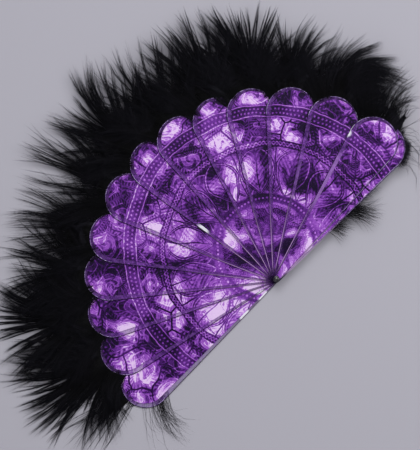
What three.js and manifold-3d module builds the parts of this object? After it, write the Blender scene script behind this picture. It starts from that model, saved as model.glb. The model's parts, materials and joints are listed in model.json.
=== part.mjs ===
// A folding hand fan of petal-shaped blades, lying open on its back.
//
// Every blade is a printed card sealed in clear film, with a black plume glued behind its tip. The blades
// turn on one rivet, and a ribbon glued behind them sets how far each one turns from the next.
// Millimetres and degrees. +Z points at whoever looks at the printed side, the rivet's axis is the Z axis,
// the open fan is centred on +Y, and the origin is the middle of the flat face of the cap under the rivet.

import * as THREE from 'three';
import Module from 'manifold-3d';
import { mergeVertices } from 'three/addons/utils/BufferGeometryUtils.js';

// Blade outline: a round tip and a small round end, joined by two straight edges.
const bladeReach = 144.4;        // from the pivot to the tip
const tipRadius = 19.2;
const endRadius = 2.6;

// Blade layers: the card lies loose in a pocket between two sheets of film, welded round the margin.
const cardThickness = 0.25;
const filmThickness = 0.1;
const cardSlack = 0.05;          // between the card and the film on every side
const filmMargin = 2.4;          // clear film past the edge of the card at the tip
const endMargin = 1.2;           // the same at the rivet
const cardTurn = 0.6;            // the card sits askew, with the wider margin on the edge left in sight

// How far each blade is turned back from the one under it when the fan lies open, from the rear guard up.
// The last step is negative: the front guard lies a little way back over the last stick.
const openSteps = [13.3, 13.7, 12.8, 13.2, 14.6, 14.4, 12.3, 13.8, 12.1, 13.5, 14.5, 18.6, -3.2];
const bladeGap = 0.45;           // between one blade and the next in the stack, room for a pressed plume
const edgeGap = 0.3;             // between a blade's edge and what passes it

// Rivet.
const shaftRadius = 0.75;
const holeSlack = 0.15;          // between the shaft and each hole
const stackSlack = 0.1;          // along the axis, under and over the blades
const headRadius = 2.1;
const headHeight = 1.2;
const headRim = 0.3;             // straight rim under the dome of the head
const washerRadius = 2.4;
const washerThickness = 0.4;
const capRadius = 2.6;
const capThickness = 1;
const capFloor = 0.3;            // up to the end of the shaft
const capChamfer = 0.3;

// Plumes, one behind each blade tip: a quill, and a tuft of barbs that stick together in pointed clumps.
const plumeLengths = [60, 83, 78, 72, 70, 76, 77, 72, 72, 68, 56, 52, 27, 36]; // past each blade's tip
const plumeSlack = 0.1;          // between a plume and the blades before and behind it
const rootGap = 6;               // from the ribbon to the end of the quill
const quillWidth = 1.8;
const quillTipWidth = 0.6;
const tuftThickness = 0.5;       // outside the blade, where nothing presses it
const tuftRise = 1.6;            // past the blade's tip, to the point that the clumps spread from
const tuftHalfWidth = 44;
const tuftSpread = 80;           // how far off the quill the outermost clumps point
const guardSpread = 118;         // the same on the open side of the outer plumes
const baseDepth = 0.33;          // from the tip back to where the tuft leaves the blade, in tip radii
const baseWidth = 0.95;          // from the middle line out to there
const neckWidth = 0.55;          // from the middle line out to the tuft's edge at the tip's centre
const clumpAngle = 12;           // between one clump and the next
const clumpDepth = 0.5;          // share of a clump's length that is free of its neighbours
const waistWidth = 0.64;         // share of a clump's width that is left halfway to its point
const clumpSweep = 7;            // the clumps bend to one side, and to the other on the next plume
const shortClump = 0.86;         // every second clump's length against its neighbours'

// Ribbon behind the blades.
const ribbonDrop = 58.4;         // from the blade's tip to the ribbon's outer edge
const ribbonWidth = 8;
const ribbonThickness = 0.2;
const ribbonSlack = 0.1;         // between the ribbon and the back of a blade
const ribbonRun = 1;             // along the arc, while it climbs to the next blade
const ribbonSeam = 3.7;          // where two lengths meet behind a blade, in degrees past its middle
const ribbonEnd = -3;            // where the ribbon starts behind the rear guard, in the same way
const ribbonTab = 5;             // half of the flat length between the last stick and the front guard
const ribbonJoint = 0.3;         // between two lengths

// Straight steps in a curve.
const tipSteps = 20;
const endSteps = 10;
const holeSteps = 16;
const rivetSteps = 24;
const domeSteps = 5;

const materials = {
  card: new THREE.MeshStandardMaterial({ color: 0x6a2a9c, roughness: 0.45, metalness: 0 }),
  film: new THREE.MeshStandardMaterial({
    color: 0xcfc4dc, roughness: 0.08, metalness: 0, transparent: true, opacity: 0.35,
  }),
  plume: new THREE.MeshStandardMaterial({ color: 0x08080b, roughness: 0.85, metalness: 0 }),
  ribbon: new THREE.MeshStandardMaterial({ color: 0x100f16, roughness: 0.5, metalness: 0 }),
  rivet: new THREE.MeshStandardMaterial({ color: 0x17151c, roughness: 0.35, metalness: 0.6 }),
};

const bladeThickness = cardThickness + 2 * (cardSlack + filmThickness);
const bladePitch = bladeThickness + bladeGap;
const firstLevel = capThickness + stackSlack;
const bladeCount = openSteps.length + 1;
const stackTop = firstLevel + (bladeCount - 1) * bladePitch + bladeThickness;

const tuftMiddle = bladeReach + tuftRise;
const ribbonRadius = bladeReach - ribbonDrop - ribbonWidth;
const plumeRoot = ribbonRadius + ribbonWidth + rootGap;

const radians = THREE.MathUtils.degToRad;
const wasm = await Module();
wasm.setup();

function toSolid(geometry) {
  const bare = geometry.clone();
  bare.deleteAttribute('normal');
  bare.deleteAttribute('uv');
  const merged = mergeVertices(bare, 1e-4);
  return new wasm.Manifold(new wasm.Mesh({
    numProp: 3,
    vertProperties: new Float32Array(merged.attributes.position.array),
    triVerts: new Uint32Array(merged.index.array),
  }));
}

function toGeometry(solid) {
  const mesh = solid.getMesh();
  const geometry = new THREE.BufferGeometry();
  geometry.setAttribute('position', new THREE.BufferAttribute(mesh.vertProperties, 3));
  geometry.setIndex(new THREE.BufferAttribute(mesh.triVerts, 1));
  geometry.computeVertexNormals();
  return geometry;
}

// Points on an arc, both ends included.
function arcPoints(x, y, radius, from, to, steps) {
  return Array.from({ length: steps + 1 }, (_, step) => {
    const angle = from + (to - from) * step / steps;
    return new THREE.Vector2(x + radius * Math.cos(angle), y + radius * Math.sin(angle));
  });
}

// The angle at which the straight edges between the two round ends close in on the middle line.
function taper(roundTip, roundEnd) {
  return Math.asin((roundTip - roundEnd) / (bladeReach - tipRadius));
}

// The blade's outline along +X, moved in from its edge by one distance at the tip and another at the rivet.
function petal(tipInset, endInset) {
  const roundTip = tipRadius - tipInset;
  const roundEnd = endRadius - endInset;
  const side = Math.PI / 2 + taper(roundTip, roundEnd);
  const tip = arcPoints(bladeReach - tipRadius, 0, roundTip, -side, side, tipSteps);
  const end = arcPoints(0, 0, roundEnd, side, 2 * Math.PI - side, endSteps);
  return new THREE.Shape([...tip, ...end]);
}

function extruded(shape, bottom, thickness) {
  const geometry = new THREE.ExtrudeGeometry(shape, { depth: thickness, bevelEnabled: false });
  return geometry.translate(0, 0, bottom);
}

// A sheet as large as the card, or that much larger all round, turned as the card is.
function cardSheet(growth, bottom, thickness) {
  const outline = petal(filmMargin - growth, endMargin - growth);
  return toSolid(extruded(outline, bottom, thickness).rotateZ(-radians(cardTurn)));
}

function hole() {
  const circle = arcPoints(0, 0, shaftRadius + holeSlack, 0, 2 * Math.PI, holeSteps);
  const outline = new THREE.Shape(circle.slice(1));
  return toSolid(extruded(outline, -bladeThickness, 3 * bladeThickness));
}

// Heights inside a blade are measured from its back face.
function cardGeometry() {
  return toGeometry(cardSheet(0, filmThickness + cardSlack, cardThickness).subtract(hole()));
}

function filmGeometry() {
  const outside = toSolid(extruded(petal(0, 0), 0, bladeThickness));
  const pocket = cardSheet(cardSlack, filmThickness, bladeThickness - 2 * filmThickness);
  return toGeometry(outside.subtract(pocket).subtract(hole()));
}

// The tuft's root behind the blade, from the quill's end to where the clumps spread.
function rootShape() {
  const side = (sign) => [
    new THREE.Vector2(plumeRoot, sign * quillWidth / 2),
    new THREE.Vector2(bladeReach - tipRadius, sign * tipRadius * neckWidth),
    new THREE.Vector2(bladeReach - tipRadius * baseDepth, sign * tipRadius * baseWidth),
    new THREE.Vector2(tuftMiddle, sign * tipRadius * baseWidth),
  ];
  return new THREE.Shape([...side(-1), ...side(1).reverse()]);
}

// Clumps of barbs fan out from the quill, longest along it, each one bent and pointed.
function tuftShape(reach, right, left, sweep) {
  const clumps = Math.round((right + left) / clumpAngle);
  const step = radians(right + left) / clumps;
  const at = (angle, share, bend) => {
    const whole = Math.hypot((reach - tuftMiddle) * Math.cos(angle), tuftHalfWidth * Math.sin(angle));
    const length = whole * share;
    return new THREE.Vector2(
      tuftMiddle + length * Math.cos(angle + bend), length * Math.sin(angle + bend));
  };
  const points = [new THREE.Vector2(bladeReach - tipRadius, 0)];
  for (let clump = 0; clump < clumps; clump += 1) {
    const angle = step * (clump + 0.5) - radians(right);
    const share = clump % 2 ? shortClump : 1;
    const waist = share * (1 - clumpDepth / 2);
    points.push(at(angle - step * waistWidth / 2, waist, sweep / 3));
    points.push(at(angle, share, sweep));
    points.push(at(angle + step * waistWidth / 2, waist, sweep / 3));
    if (clump < clumps - 1) points.push(at(angle + step / 2, 1 - clumpDepth, 0));
  }
  return new THREE.Shape(points);
}

function quillShape(reach) {
  return new THREE.Shape([
    new THREE.Vector2(plumeRoot, -quillWidth / 2),
    new THREE.Vector2(reach - (reach - tuftMiddle) * clumpDepth, -quillTipWidth / 2),
    new THREE.Vector2(reach - (reach - tuftMiddle) * clumpDepth, quillTipWidth / 2),
    new THREE.Vector2(plumeRoot, quillWidth / 2),
  ]);
}

// A plume is thick where it is free and pressed thin where it lies behind its blade.
function plumeGeometry(index) {
  const reach = bladeReach + plumeLengths[index];
  const right = index < bladeCount - 2 ? tuftSpread : guardSpread;
  const left = index > 0 ? tuftSpread : guardSpread;
  const sweep = radians(index % 2 ? -clumpSweep : clumpSweep);
  const bottom = plumeSlack - bladeGap;
  const root = toSolid(extruded(rootShape(), bottom, tuftThickness));
  const tuft = toSolid(extruded(tuftShape(reach, right, left, sweep), bottom, tuftThickness));
  const quillHeight = bladePitch - 2 * plumeSlack;
  const quill = toSolid(extruded(quillShape(reach), bottom, quillHeight));
  const pressed = toSolid(extruded(petal(-edgeGap, -edgeGap), -plumeSlack, bladePitch));
  return toGeometry(root.add(tuft).add(quill).subtract(pressed));
}

// Half of the angle that a blade covers, seen from the pivot, at some distance from it.
function halfAngle(radius) {
  return taper(tipRadius, endRadius) + Math.asin(endRadius / radius);
}

// A strip of even thickness along a path of (arc length, height), as an outline.
function stripShape(path) {
  const half = ribbonThickness / 2;
  const side = (sign) => path.map((point, index) => {
    const before = path[Math.max(index - 1, 0)];
    const after = path[Math.min(index + 1, path.length - 1)];
    const into = point.clone().sub(before).normalize();
    const out = after.clone().sub(point).normalize();
    if (index === 0) into.copy(out);
    if (index === path.length - 1) out.copy(into);
    const middle = into.clone().add(out).normalize();
    const reach = sign * half / middle.dot(into);
    return new THREE.Vector2(point.x - middle.y * reach, point.y + middle.x * reach);
  });
  return new THREE.Shape([...side(-1), ...side(1).reverse()]);
}

// One length of ribbon from a blade to the next, round the edge of the lower one. The last length lies flat
// between the last stick and the front guard. Heights count from the back face of the blade it starts on, and
// arc lengths from that blade's middle towards the next blade.
function ribbonGeometry(index) {
  const middleRadius = ribbonRadius + ribbonWidth / 2;
  const arc = (angle) => radians(angle) * middleRadius;
  const low = -ribbonSlack - ribbonThickness / 2;
  const high = low + bladePitch;
  const edge = halfAngle(ribbonRadius) * middleRadius + edgeGap + ribbonThickness / 2;
  const start = index === 0 ? arc(ribbonEnd) : arc(ribbonSeam) + ribbonJoint / 2;
  const finish = arc(openSteps[index] + ribbonSeam) - ribbonJoint / 2;
  const tab = [openSteps[index] / 2 - ribbonTab, openSteps[index] / 2 + ribbonTab];
  const path = openSteps[index] > 0
    ? [[start, low], [edge, low], [edge + ribbonRun, high], [finish, high]]
    : tab.map((angle) => [arc(angle), high]);
  const outline = stripShape(path.map(([along, height]) => new THREE.Vector2(along, height)));
  const geometry = new THREE.ExtrudeGeometry(outline, { depth: ribbonWidth, bevelEnabled: false });
  const position = geometry.attributes.position;
  for (let corner = 0; corner < position.count; corner += 1) {
    const angle = position.getX(corner) / middleRadius;
    const radius = ribbonRadius + ribbonWidth - position.getZ(corner);
    position.setXYZ(corner, radius * Math.cos(angle), -radius * Math.sin(angle), position.getY(corner));
  }
  geometry.computeVertexNormals();
  return geometry;
}

// A body turned about the rivet's axis, from a profile of [radius, height].
function turned(profile) {
  const points = profile.map(([radius, height]) => new THREE.Vector2(radius, height));
  return new THREE.LatheGeometry(points, rivetSteps).rotateX(Math.PI / 2);
}

const headBottom = stackTop + stackSlack + washerThickness + stackSlack;

function pinGeometry() {
  const domeBottom = headBottom + headRim;
  const dome = arcPoints(0, 0, 1, 0, Math.PI / 2, domeSteps).slice(0, -1).map(
    (point) => [headRadius * point.x, domeBottom + (headHeight - headRim) * point.y]);
  return turned([
    [0, capFloor], [shaftRadius, capFloor], [shaftRadius, headBottom], [headRadius, headBottom],
    ...dome, [0, headBottom + headHeight],
  ]);
}

function washerGeometry() {
  const bottom = stackTop + stackSlack;
  const bore = shaftRadius + holeSlack;
  return turned([
    [bore, bottom], [washerRadius, bottom], [washerRadius, bottom + washerThickness],
    [bore, bottom + washerThickness], [bore, bottom],
  ]);
}

function capGeometry() {
  const bore = shaftRadius + holeSlack;
  const floor = capFloor - stackSlack;
  return turned([
    [0, 0], [capRadius, 0], [capRadius, capThickness - capChamfer], [capRadius - capChamfer, capThickness],
    [bore, capThickness], [bore, floor], [0, floor],
  ]);
}

function named(name, geometry, material) {
  const mesh = new THREE.Mesh(geometry, material);
  mesh.name = name;
  return mesh;
}

function bladeName(index) {
  if (index === 0) return 'rear_guard';
  if (index === bladeCount - 1) return 'front_guard';
  return `blade_${String(index + 1).padStart(2, '0')}`;
}

const fan = new THREE.Group();
fan.add(
  named('pivot_pin', pinGeometry(), materials.rivet),
  named('pivot_washer', washerGeometry(), materials.rivet),
  named('pivot_cap', capGeometry(), materials.rivet),
);

const card = cardGeometry();
const film = filmGeometry();
const opening = openSteps.reduce((sum, step) => sum + step, 0);
let direction = 90 + opening / 2;
for (let index = 0; index < bladeCount; index += 1) {
  const blade = new THREE.Group();
  const name = bladeName(index);
  blade.position.z = firstLevel + index * bladePitch;
  blade.rotation.z = radians(direction);
  blade.add(
    named(`${name}_card`, card, materials.card),
    named(`${name}_film`, film, materials.film),
    named(`${name}_plume`, plumeGeometry(index), materials.plume),
  );
  if (index < openSteps.length) {
    const label = String(index + 1).padStart(2, '0');
    blade.add(named(`ribbon_${label}`, ribbonGeometry(index), materials.ribbon));
    direction -= openSteps[index];
  }
  fan.add(blade);
}

export default fan;
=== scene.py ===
"""An open hand fan: printed petal blades sealed in clear film, with black plumes behind their tips.

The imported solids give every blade's place. This script dresses them: printed cards, clear film with
a welded margin, plumes of thousands of barbs, a satin ribbon behind the blades and an enamelled
rivet. Lengths are metres, except in the patterns of the finishes, which count millimetres.
"""
from __future__ import annotations

import json
import logging
import math
from dataclasses import dataclass
from enum import Enum
from typing import Any, Callable, Sequence, Union

import bpy
import numpy as np
from mathutils import Matrix, Vector

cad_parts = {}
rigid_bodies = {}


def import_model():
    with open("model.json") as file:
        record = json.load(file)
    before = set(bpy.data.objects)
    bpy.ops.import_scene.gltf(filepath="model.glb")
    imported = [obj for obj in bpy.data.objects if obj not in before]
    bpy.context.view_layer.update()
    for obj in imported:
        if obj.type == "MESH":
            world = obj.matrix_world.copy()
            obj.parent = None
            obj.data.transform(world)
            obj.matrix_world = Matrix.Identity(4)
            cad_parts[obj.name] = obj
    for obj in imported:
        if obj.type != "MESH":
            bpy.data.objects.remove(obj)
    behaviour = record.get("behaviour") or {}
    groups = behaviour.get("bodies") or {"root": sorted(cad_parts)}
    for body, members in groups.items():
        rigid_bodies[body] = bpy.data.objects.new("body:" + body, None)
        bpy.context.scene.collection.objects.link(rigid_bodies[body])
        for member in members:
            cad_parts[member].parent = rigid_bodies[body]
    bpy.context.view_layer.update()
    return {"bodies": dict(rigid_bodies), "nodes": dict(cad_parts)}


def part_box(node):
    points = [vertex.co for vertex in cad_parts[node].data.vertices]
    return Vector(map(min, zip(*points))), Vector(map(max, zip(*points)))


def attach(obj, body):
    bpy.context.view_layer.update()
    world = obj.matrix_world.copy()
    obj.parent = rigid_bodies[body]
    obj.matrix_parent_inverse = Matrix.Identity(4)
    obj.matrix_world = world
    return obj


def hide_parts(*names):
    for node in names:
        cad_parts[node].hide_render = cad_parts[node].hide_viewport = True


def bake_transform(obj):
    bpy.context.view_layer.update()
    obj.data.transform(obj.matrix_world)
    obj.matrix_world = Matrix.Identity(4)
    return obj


log = logging.getLogger("hand_fan")

MM = 0.001

Colour = tuple[float, float, float]
Operand = Union["Wire", float]
# A round spot: X, Y and radius.
Spot = tuple[float, float, float]
# A noise that pushes a pattern about: the size of its features, and how far it pushes.
Swirl = tuple[float, float]


# Shader graphs


class Wire:
    """An output socket of a shader node that takes part in Python arithmetic."""

    def __init__(self, graph: "Graph", socket: bpy.types.NodeSocket) -> None:
        """Wraps one output socket of the graph."""
        self.graph = graph
        self.socket = socket

    def __add__(self, other: Operand) -> "Wire":
        """Sum of this value and another."""
        return self.graph.math("ADD", self, other)

    __radd__ = __add__

    def __sub__(self, other: Operand) -> "Wire":
        """This value less another."""
        return self.graph.math("SUBTRACT", self, other)

    def __rsub__(self, other: Operand) -> "Wire":
        """Another value less this one."""
        return self.graph.math("SUBTRACT", other, self)

    def __mul__(self, other: Operand) -> "Wire":
        """Product of this value and another."""
        return self.graph.math("MULTIPLY", self, other)

    __rmul__ = __mul__

    def __truediv__(self, other: Operand) -> "Wire":
        """This value divided by another."""
        return self.graph.math("DIVIDE", self, other)

    def __pow__(self, other: Operand) -> "Wire":
        """This value raised to a power."""
        return self.graph.math("POWER", self, other)


class Graph:
    """The node tree of one material, which ends in a single Principled surface."""

    def __init__(self, name: str) -> None:
        """Starts an empty material.

        Args:
            name: the material's name.
        """
        self.material = bpy.data.materials.new(name)
        self.material.use_nodes = True
        self.tree = self.material.node_tree
        self.tree.nodes.clear()

    def node(
        self, kind: str, settings: dict[str, Any], inputs: dict[Any, Any], output: Any = 0
    ) -> Wire:
        """Adds any node.

        Args:
            kind: the node's type.
            settings: its properties, set before its sockets.
            inputs: socket names or numbers, each with a wire or a value.
            output: the name or number of the socket that comes back.

        Returns:
            The chosen output.
        """
        made = self.tree.nodes.new(kind)
        for key, value in settings.items():
            setattr(made, key, value)
        for key, value in inputs.items():
            if isinstance(value, Wire):
                self.tree.links.new(value.socket, made.inputs[key])
            else:
                made.inputs[key].default_value = self.fitting(made.inputs[key], value)
        return Wire(self, made.outputs[output] if made.outputs else None)

    @staticmethod
    def fitting(socket: bpy.types.NodeSocket, value: Any) -> Any:
        """The value as that socket takes it: a colour gets its alpha."""
        return (*value, 1.0) if socket.type == "RGBA" and len(value) == 3 else value

    def math(self, operation: str, *operands: Operand) -> Wire:
        """A Math node on one to three numbers."""
        return self.node("ShaderNodeMath", {"operation": operation}, dict(enumerate(operands)))

    def vectors(self, operation: str, one: Any, other: Any, output: str = "Vector") -> Wire:
        """A Vector Math node on two vectors."""
        inputs = {0: one, 1: other}
        return self.node("ShaderNodeVectorMath", {"operation": operation}, inputs, output)

    def scaled(self, vector: Wire, share: float) -> Wire:
        """A vector times one number."""
        inputs = {0: vector, "Scale": share}
        return self.node("ShaderNodeVectorMath", {"operation": "SCALE"}, inputs)

    def sine(self, value: Operand) -> Wire:
        """Sine of an angle in radians."""
        return self.math("SINE", value)

    def size(self, value: Operand) -> Wire:
        """The number without its sign."""
        return self.math("ABSOLUTE", value)

    def length(self, across: Operand, along: Operand) -> Wire:
        """Length of a flat vector."""
        return self.math("SQRT", across * across + along * along)

    def step(self, low: float, high: float, value: Operand) -> Wire:
        """Smooth step from 0 at low to 1 at high, which may be the smaller of the two."""
        inputs = {"Value": value, "From Min": low, "From Max": high}
        return self.node("ShaderNodeMapRange", {"interpolation_type": "SMOOTHSTEP"}, inputs)

    def line(self, distance: Operand, width: float) -> Wire:
        """1 on a line of that width round distance 0, softly 0 beside it."""
        return 1 - self.step(width / 2, width, self.size(distance))

    def blend(self, below: Operand, above: Operand, mask: Operand) -> Wire:
        """One number over another through a mask."""
        inputs = {"Factor": mask, "A": below, "B": above}
        return self.node("ShaderNodeMix", {"data_type": "FLOAT"}, inputs, "Result")

    def tint(self, below: Any, above: Any, mask: Operand) -> Wire:
        """One colour over another through a mask."""
        inputs = {0: mask, 6: below, 7: above}
        return self.node("ShaderNodeMix", {"data_type": "RGBA"}, inputs, 2)

    def place(self) -> Wire:
        """Object coordinates in millimetres."""
        return self.scaled(self.node("ShaderNodeTexCoord", {}, {}, "Object"), 1 / MM)

    def axis(self, vector: Wire, name: str) -> Wire:
        """One component of a vector."""
        return self.node("ShaderNodeSeparateXYZ", {}, {0: vector}, name)

    def stretched(self, vector: Wire, scale: Sequence[float]) -> Wire:
        """The vector times a number for each axis."""
        return self.vectors("MULTIPLY", vector, tuple(scale))

    def flattened(self, vector: Wire) -> Wire:
        """The vector without its height."""
        return self.stretched(vector, (1, 1, 0))

    def from_pivot(self, place: Wire) -> Wire:
        """Distance of a place from the rivet's axis."""
        return self.length(self.axis(place, "X"), self.axis(place, "Y"))

    def noise(self, vector: Wire, grain: float, detail: float = 2.0, rough: float = 0.5) -> Wire:
        """Noise with features of that size, from 0 to 1 about 0.5."""
        inputs = {"Vector": vector, "Scale": 1 / grain, "Detail": detail, "Roughness": rough}
        return self.node("ShaderNodeTexNoise", {}, inputs)

    def cells(
        self, place: Wire, grain: float, output: str, random: float = 1.0, feature: str = "F1"
    ) -> Wire:
        """Something about the cell that a place lies in.

        Args:
            place: the place in the pattern.
            grain: the size of a cell.
            output: what comes back, by the name of the node's socket.
            random: how far the cells stray from a square grid, from 0 to 1.
            feature: what the pattern measures.

        Returns:
            The chosen output.
        """
        settings = {"voronoi_dimensions": "2D", "feature": feature}
        inputs = {"Vector": place, "Scale": 1 / grain, "Randomness": random}
        return self.node("ShaderNodeTexVoronoi", settings, inputs, output)

    def swirled(self, vector: Wire, *swirls: Swirl) -> Wire:
        """A place pushed about by soft noises in turn, for hand-drawn unevenness.

        Args:
            vector: the place in the pattern.
            swirls: the size of each noise's features, and how far it pushes.

        Returns:
            The place to draw at.
        """
        for grain, reach in swirls:
            inputs = {"Vector": vector, "Scale": 1 / grain, "Detail": 1.0}
            noise = self.node("ShaderNodeTexNoise", {}, inputs, "Color")
            push = self.scaled(self.vectors("SUBTRACT", noise, (0.5, 0.5, 0.5)), 2 * reach)
            vector = self.vectors("ADD", vector, push)
        return vector

    def spots(self, place: Wire, spots: Sequence[Spot]) -> Wire:
        """Soft round spots.

        Args:
            place: the place on the fan.
            spots: X, Y and radius of each.

        Returns:
            1 in the middle of the spots and 0 outside them.
        """
        total: Operand = 0.0
        flat = self.flattened(place)
        for across, along, radius in spots:
            distance = self.vectors("DISTANCE", flat, (across, along, 0), "Value")
            total = self.step(radius, radius * 0.5, distance) + total
        return total

    def ramp(self, value: Wire, stops: Sequence[tuple[float, Colour]]) -> Wire:
        """A colour for each value.

        Args:
            value: a number from 0 to 1.
            stops: numbers in rising order, each with its colour.

        Returns:
            The colour.
        """
        made = self.tree.nodes.new("ShaderNodeValToRGB")
        elements = made.color_ramp.elements
        while len(elements) < len(stops):
            elements.new(0.5)
        for element, (position, colour) in zip(elements, stops):
            element.position = position
            element.color = (*colour, 1.0)
        self.tree.links.new(value.socket, made.inputs[0])
        return Wire(self, made.outputs[0])

    def bump(self, height: Wire, distance: float) -> Wire:
        """A normal from a height between 0 and 1 and its depth in metres."""
        return self.node("ShaderNodeBump", {}, {"Height": height, "Distance": distance}, "Normal")

    def finish(self, sockets: dict[str, Any]) -> bpy.types.Material:
        """Ends the material in one Principled surface.

        Args:
            sockets: the surface's socket names, each with a wire or a value.

        Returns:
            The finished material.
        """
        surface = self.node("ShaderNodeBsdfPrincipled", {}, sockets)
        self.node("ShaderNodeOutputMaterial", {}, {"Surface": surface})
        return self.material


# The print's ornaments, with tones from 0, the darkest violet, to 1, pale lilac


@dataclass(frozen=True)
class Polar:
    """A place in the print: its angle about the heart of the rings, and its distance from it."""

    turn: Wire
    radius: Wire

    def repeat(self, g: Graph, ring: float, count: int, shift: float) -> tuple[Wire, Wire]:
        """Places inside the repeats of a ring.

        Args:
            g: the material's graph.
            ring: the ring's radius.
            count: repeats in a full turn.
            shift: share of a repeat that the ring is turned by.

        Returns:
            Millimetres across and along from the middle of the repeat.
        """
        share = g.math("FRACT", self.turn * (count / math.tau) + (shift + count)) - 0.5
        return share * (math.tau * ring / count), self.radius - ring


@dataclass(frozen=True)
class Agate:
    """Agate marbling: plateaus with feathered, shaded edges, and fine lines along their contours.

    A plateau has the depth of noise that it starts at, and what it adds.
    """

    swirls: tuple[Swirl, ...] = ((55.0, 26.0), (16.0, 8.0))
    grain: float = 25.0
    rough: float = 0.4
    lowest: float = 0.10
    slant: float = 0.9
    plateaus: tuple[tuple[float, float], ...] = (
        (0.43, 0.20), (0.495, 0.18), (0.55, 0.16), (0.605, 0.22),
    )
    edge: float = 0.005
    feather_grain: float = 33.0
    feather_lines: float = 190.0
    feather_reach: float = 0.008
    shade: float = 0.16
    shade_width: float = 0.007
    shade_offset: float = 0.008
    contours: float = 170.0

    def tone(self, g: Graph, flat: Wire) -> tuple[Wire, Wire]:
        """Draws the marbling.

        Args:
            g: the material's graph.
            flat: the place in the print.

        Returns:
            The tone of the plateaus, and the lines from -1 to 1.
        """
        curled = g.swirled(flat, *self.swirls)
        depth = g.noise(curled, self.grain, 2.0, self.rough)
        feather = g.sine(g.noise(curled, self.feather_grain, 1.0) * self.feather_lines)
        edge = depth + feather * self.feather_reach
        tone = self.lowest + (depth - 0.5) * self.slant
        for level, rise in self.plateaus:
            shade = g.line(edge - level + self.shade_offset, self.shade_width)
            tone = tone + g.step(level - self.edge, level + self.edge, edge) * rise
            tone = tone - shade * self.shade
        return tone, g.sine(depth * self.contours)


@dataclass(frozen=True)
class Net:
    """Two waves drawn as crossed threads with a knot in each mesh.

    A wave makes a thread while it is nearer to 0 than thread, and the knots lie where both waves
    together are stronger than the knot's limits.
    """

    thread: float
    knot: tuple[float, float] = (0.5, 0.9)

    def masks(self, g: Graph, one: Wire, other: Wire) -> tuple[Wire, Wire]:
        """1 on the threads, and 1 on the knots."""
        threads = 1 - g.step(0.0, self.thread, g.math("MINIMUM", g.size(one), g.size(other)))
        return threads, g.step(*self.knot, g.size(one * other))


@dataclass(frozen=True)
class Filigree:
    """Patches of fine crossed threads with knots."""

    pitch: float = 1.3
    net: Net = Net(0.45)
    thread_tone: float = 1.1
    knot_tone: float = 0.7
    shade: float = 0.7
    patch_grain: float = 17.0
    patch_edge: tuple[float, float] = (0.52, 0.54)

    def tone(self, g: Graph, drawn: Wire) -> Wire:
        """Draws the patches.

        Args:
            g: the material's graph.
            drawn: the place in the print.

        Returns:
            A number from -1 to 1, and 0 outside the patches.
        """
        across, along = g.axis(drawn, "X") * self.pitch, g.axis(drawn, "Y") * self.pitch
        threads, knots = self.net.masks(g, g.sine(across + along), g.sine(across - along))
        patch = g.step(*self.patch_edge, g.noise(drawn, self.patch_grain, 1.0))
        return patch * (threads * self.thread_tone + knots * self.knot_tone - self.shade)


@dataclass(frozen=True)
class Scales:
    """Patches of small uneven scales, dark between and light in the middle."""

    size: float = 3.6
    fall: float = 2.4
    patch_grain: float = 21.0
    patch_edge: tuple[float, float] = (0.47, 0.45)

    def tone(self, g: Graph, drawn: Wire) -> Wire:
        """A number from -1 to 1, and 0 outside the patches."""
        patch = g.step(*self.patch_edge, g.noise(drawn, self.patch_grain, 1.0))
        return patch * (1 - g.cells(drawn, self.size, "Distance") * self.fall)


@dataclass(frozen=True)
class Lattice:
    """Diamonds with a dot in each, growing with the distance from the heart."""

    diamonds: float = 24.0
    growth: float = 15.0
    unit: float = 10.0
    net: Net = Net(0.4)
    shade: float = 0.08
    line_tone: float = 0.26
    dot_tone: float = 0.16

    def tone(self, g: Graph, polar: Polar, ground: Wire) -> Wire:
        """Draws the lattice.

        Args:
            g: the material's graph.
            polar: the place about the heart.
            ground: the tone that it is drawn on.

        Returns:
            The tone.
        """
        rise = g.math("LOGARITHM", polar.radius / self.unit, math.e) * self.growth
        turn = polar.turn * self.diamonds
        lines, dots = self.net.masks(g, g.sine(turn + rise), g.sine(turn - rise))
        return ground - self.shade + lines * self.line_tone + dots * self.dot_tone


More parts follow.
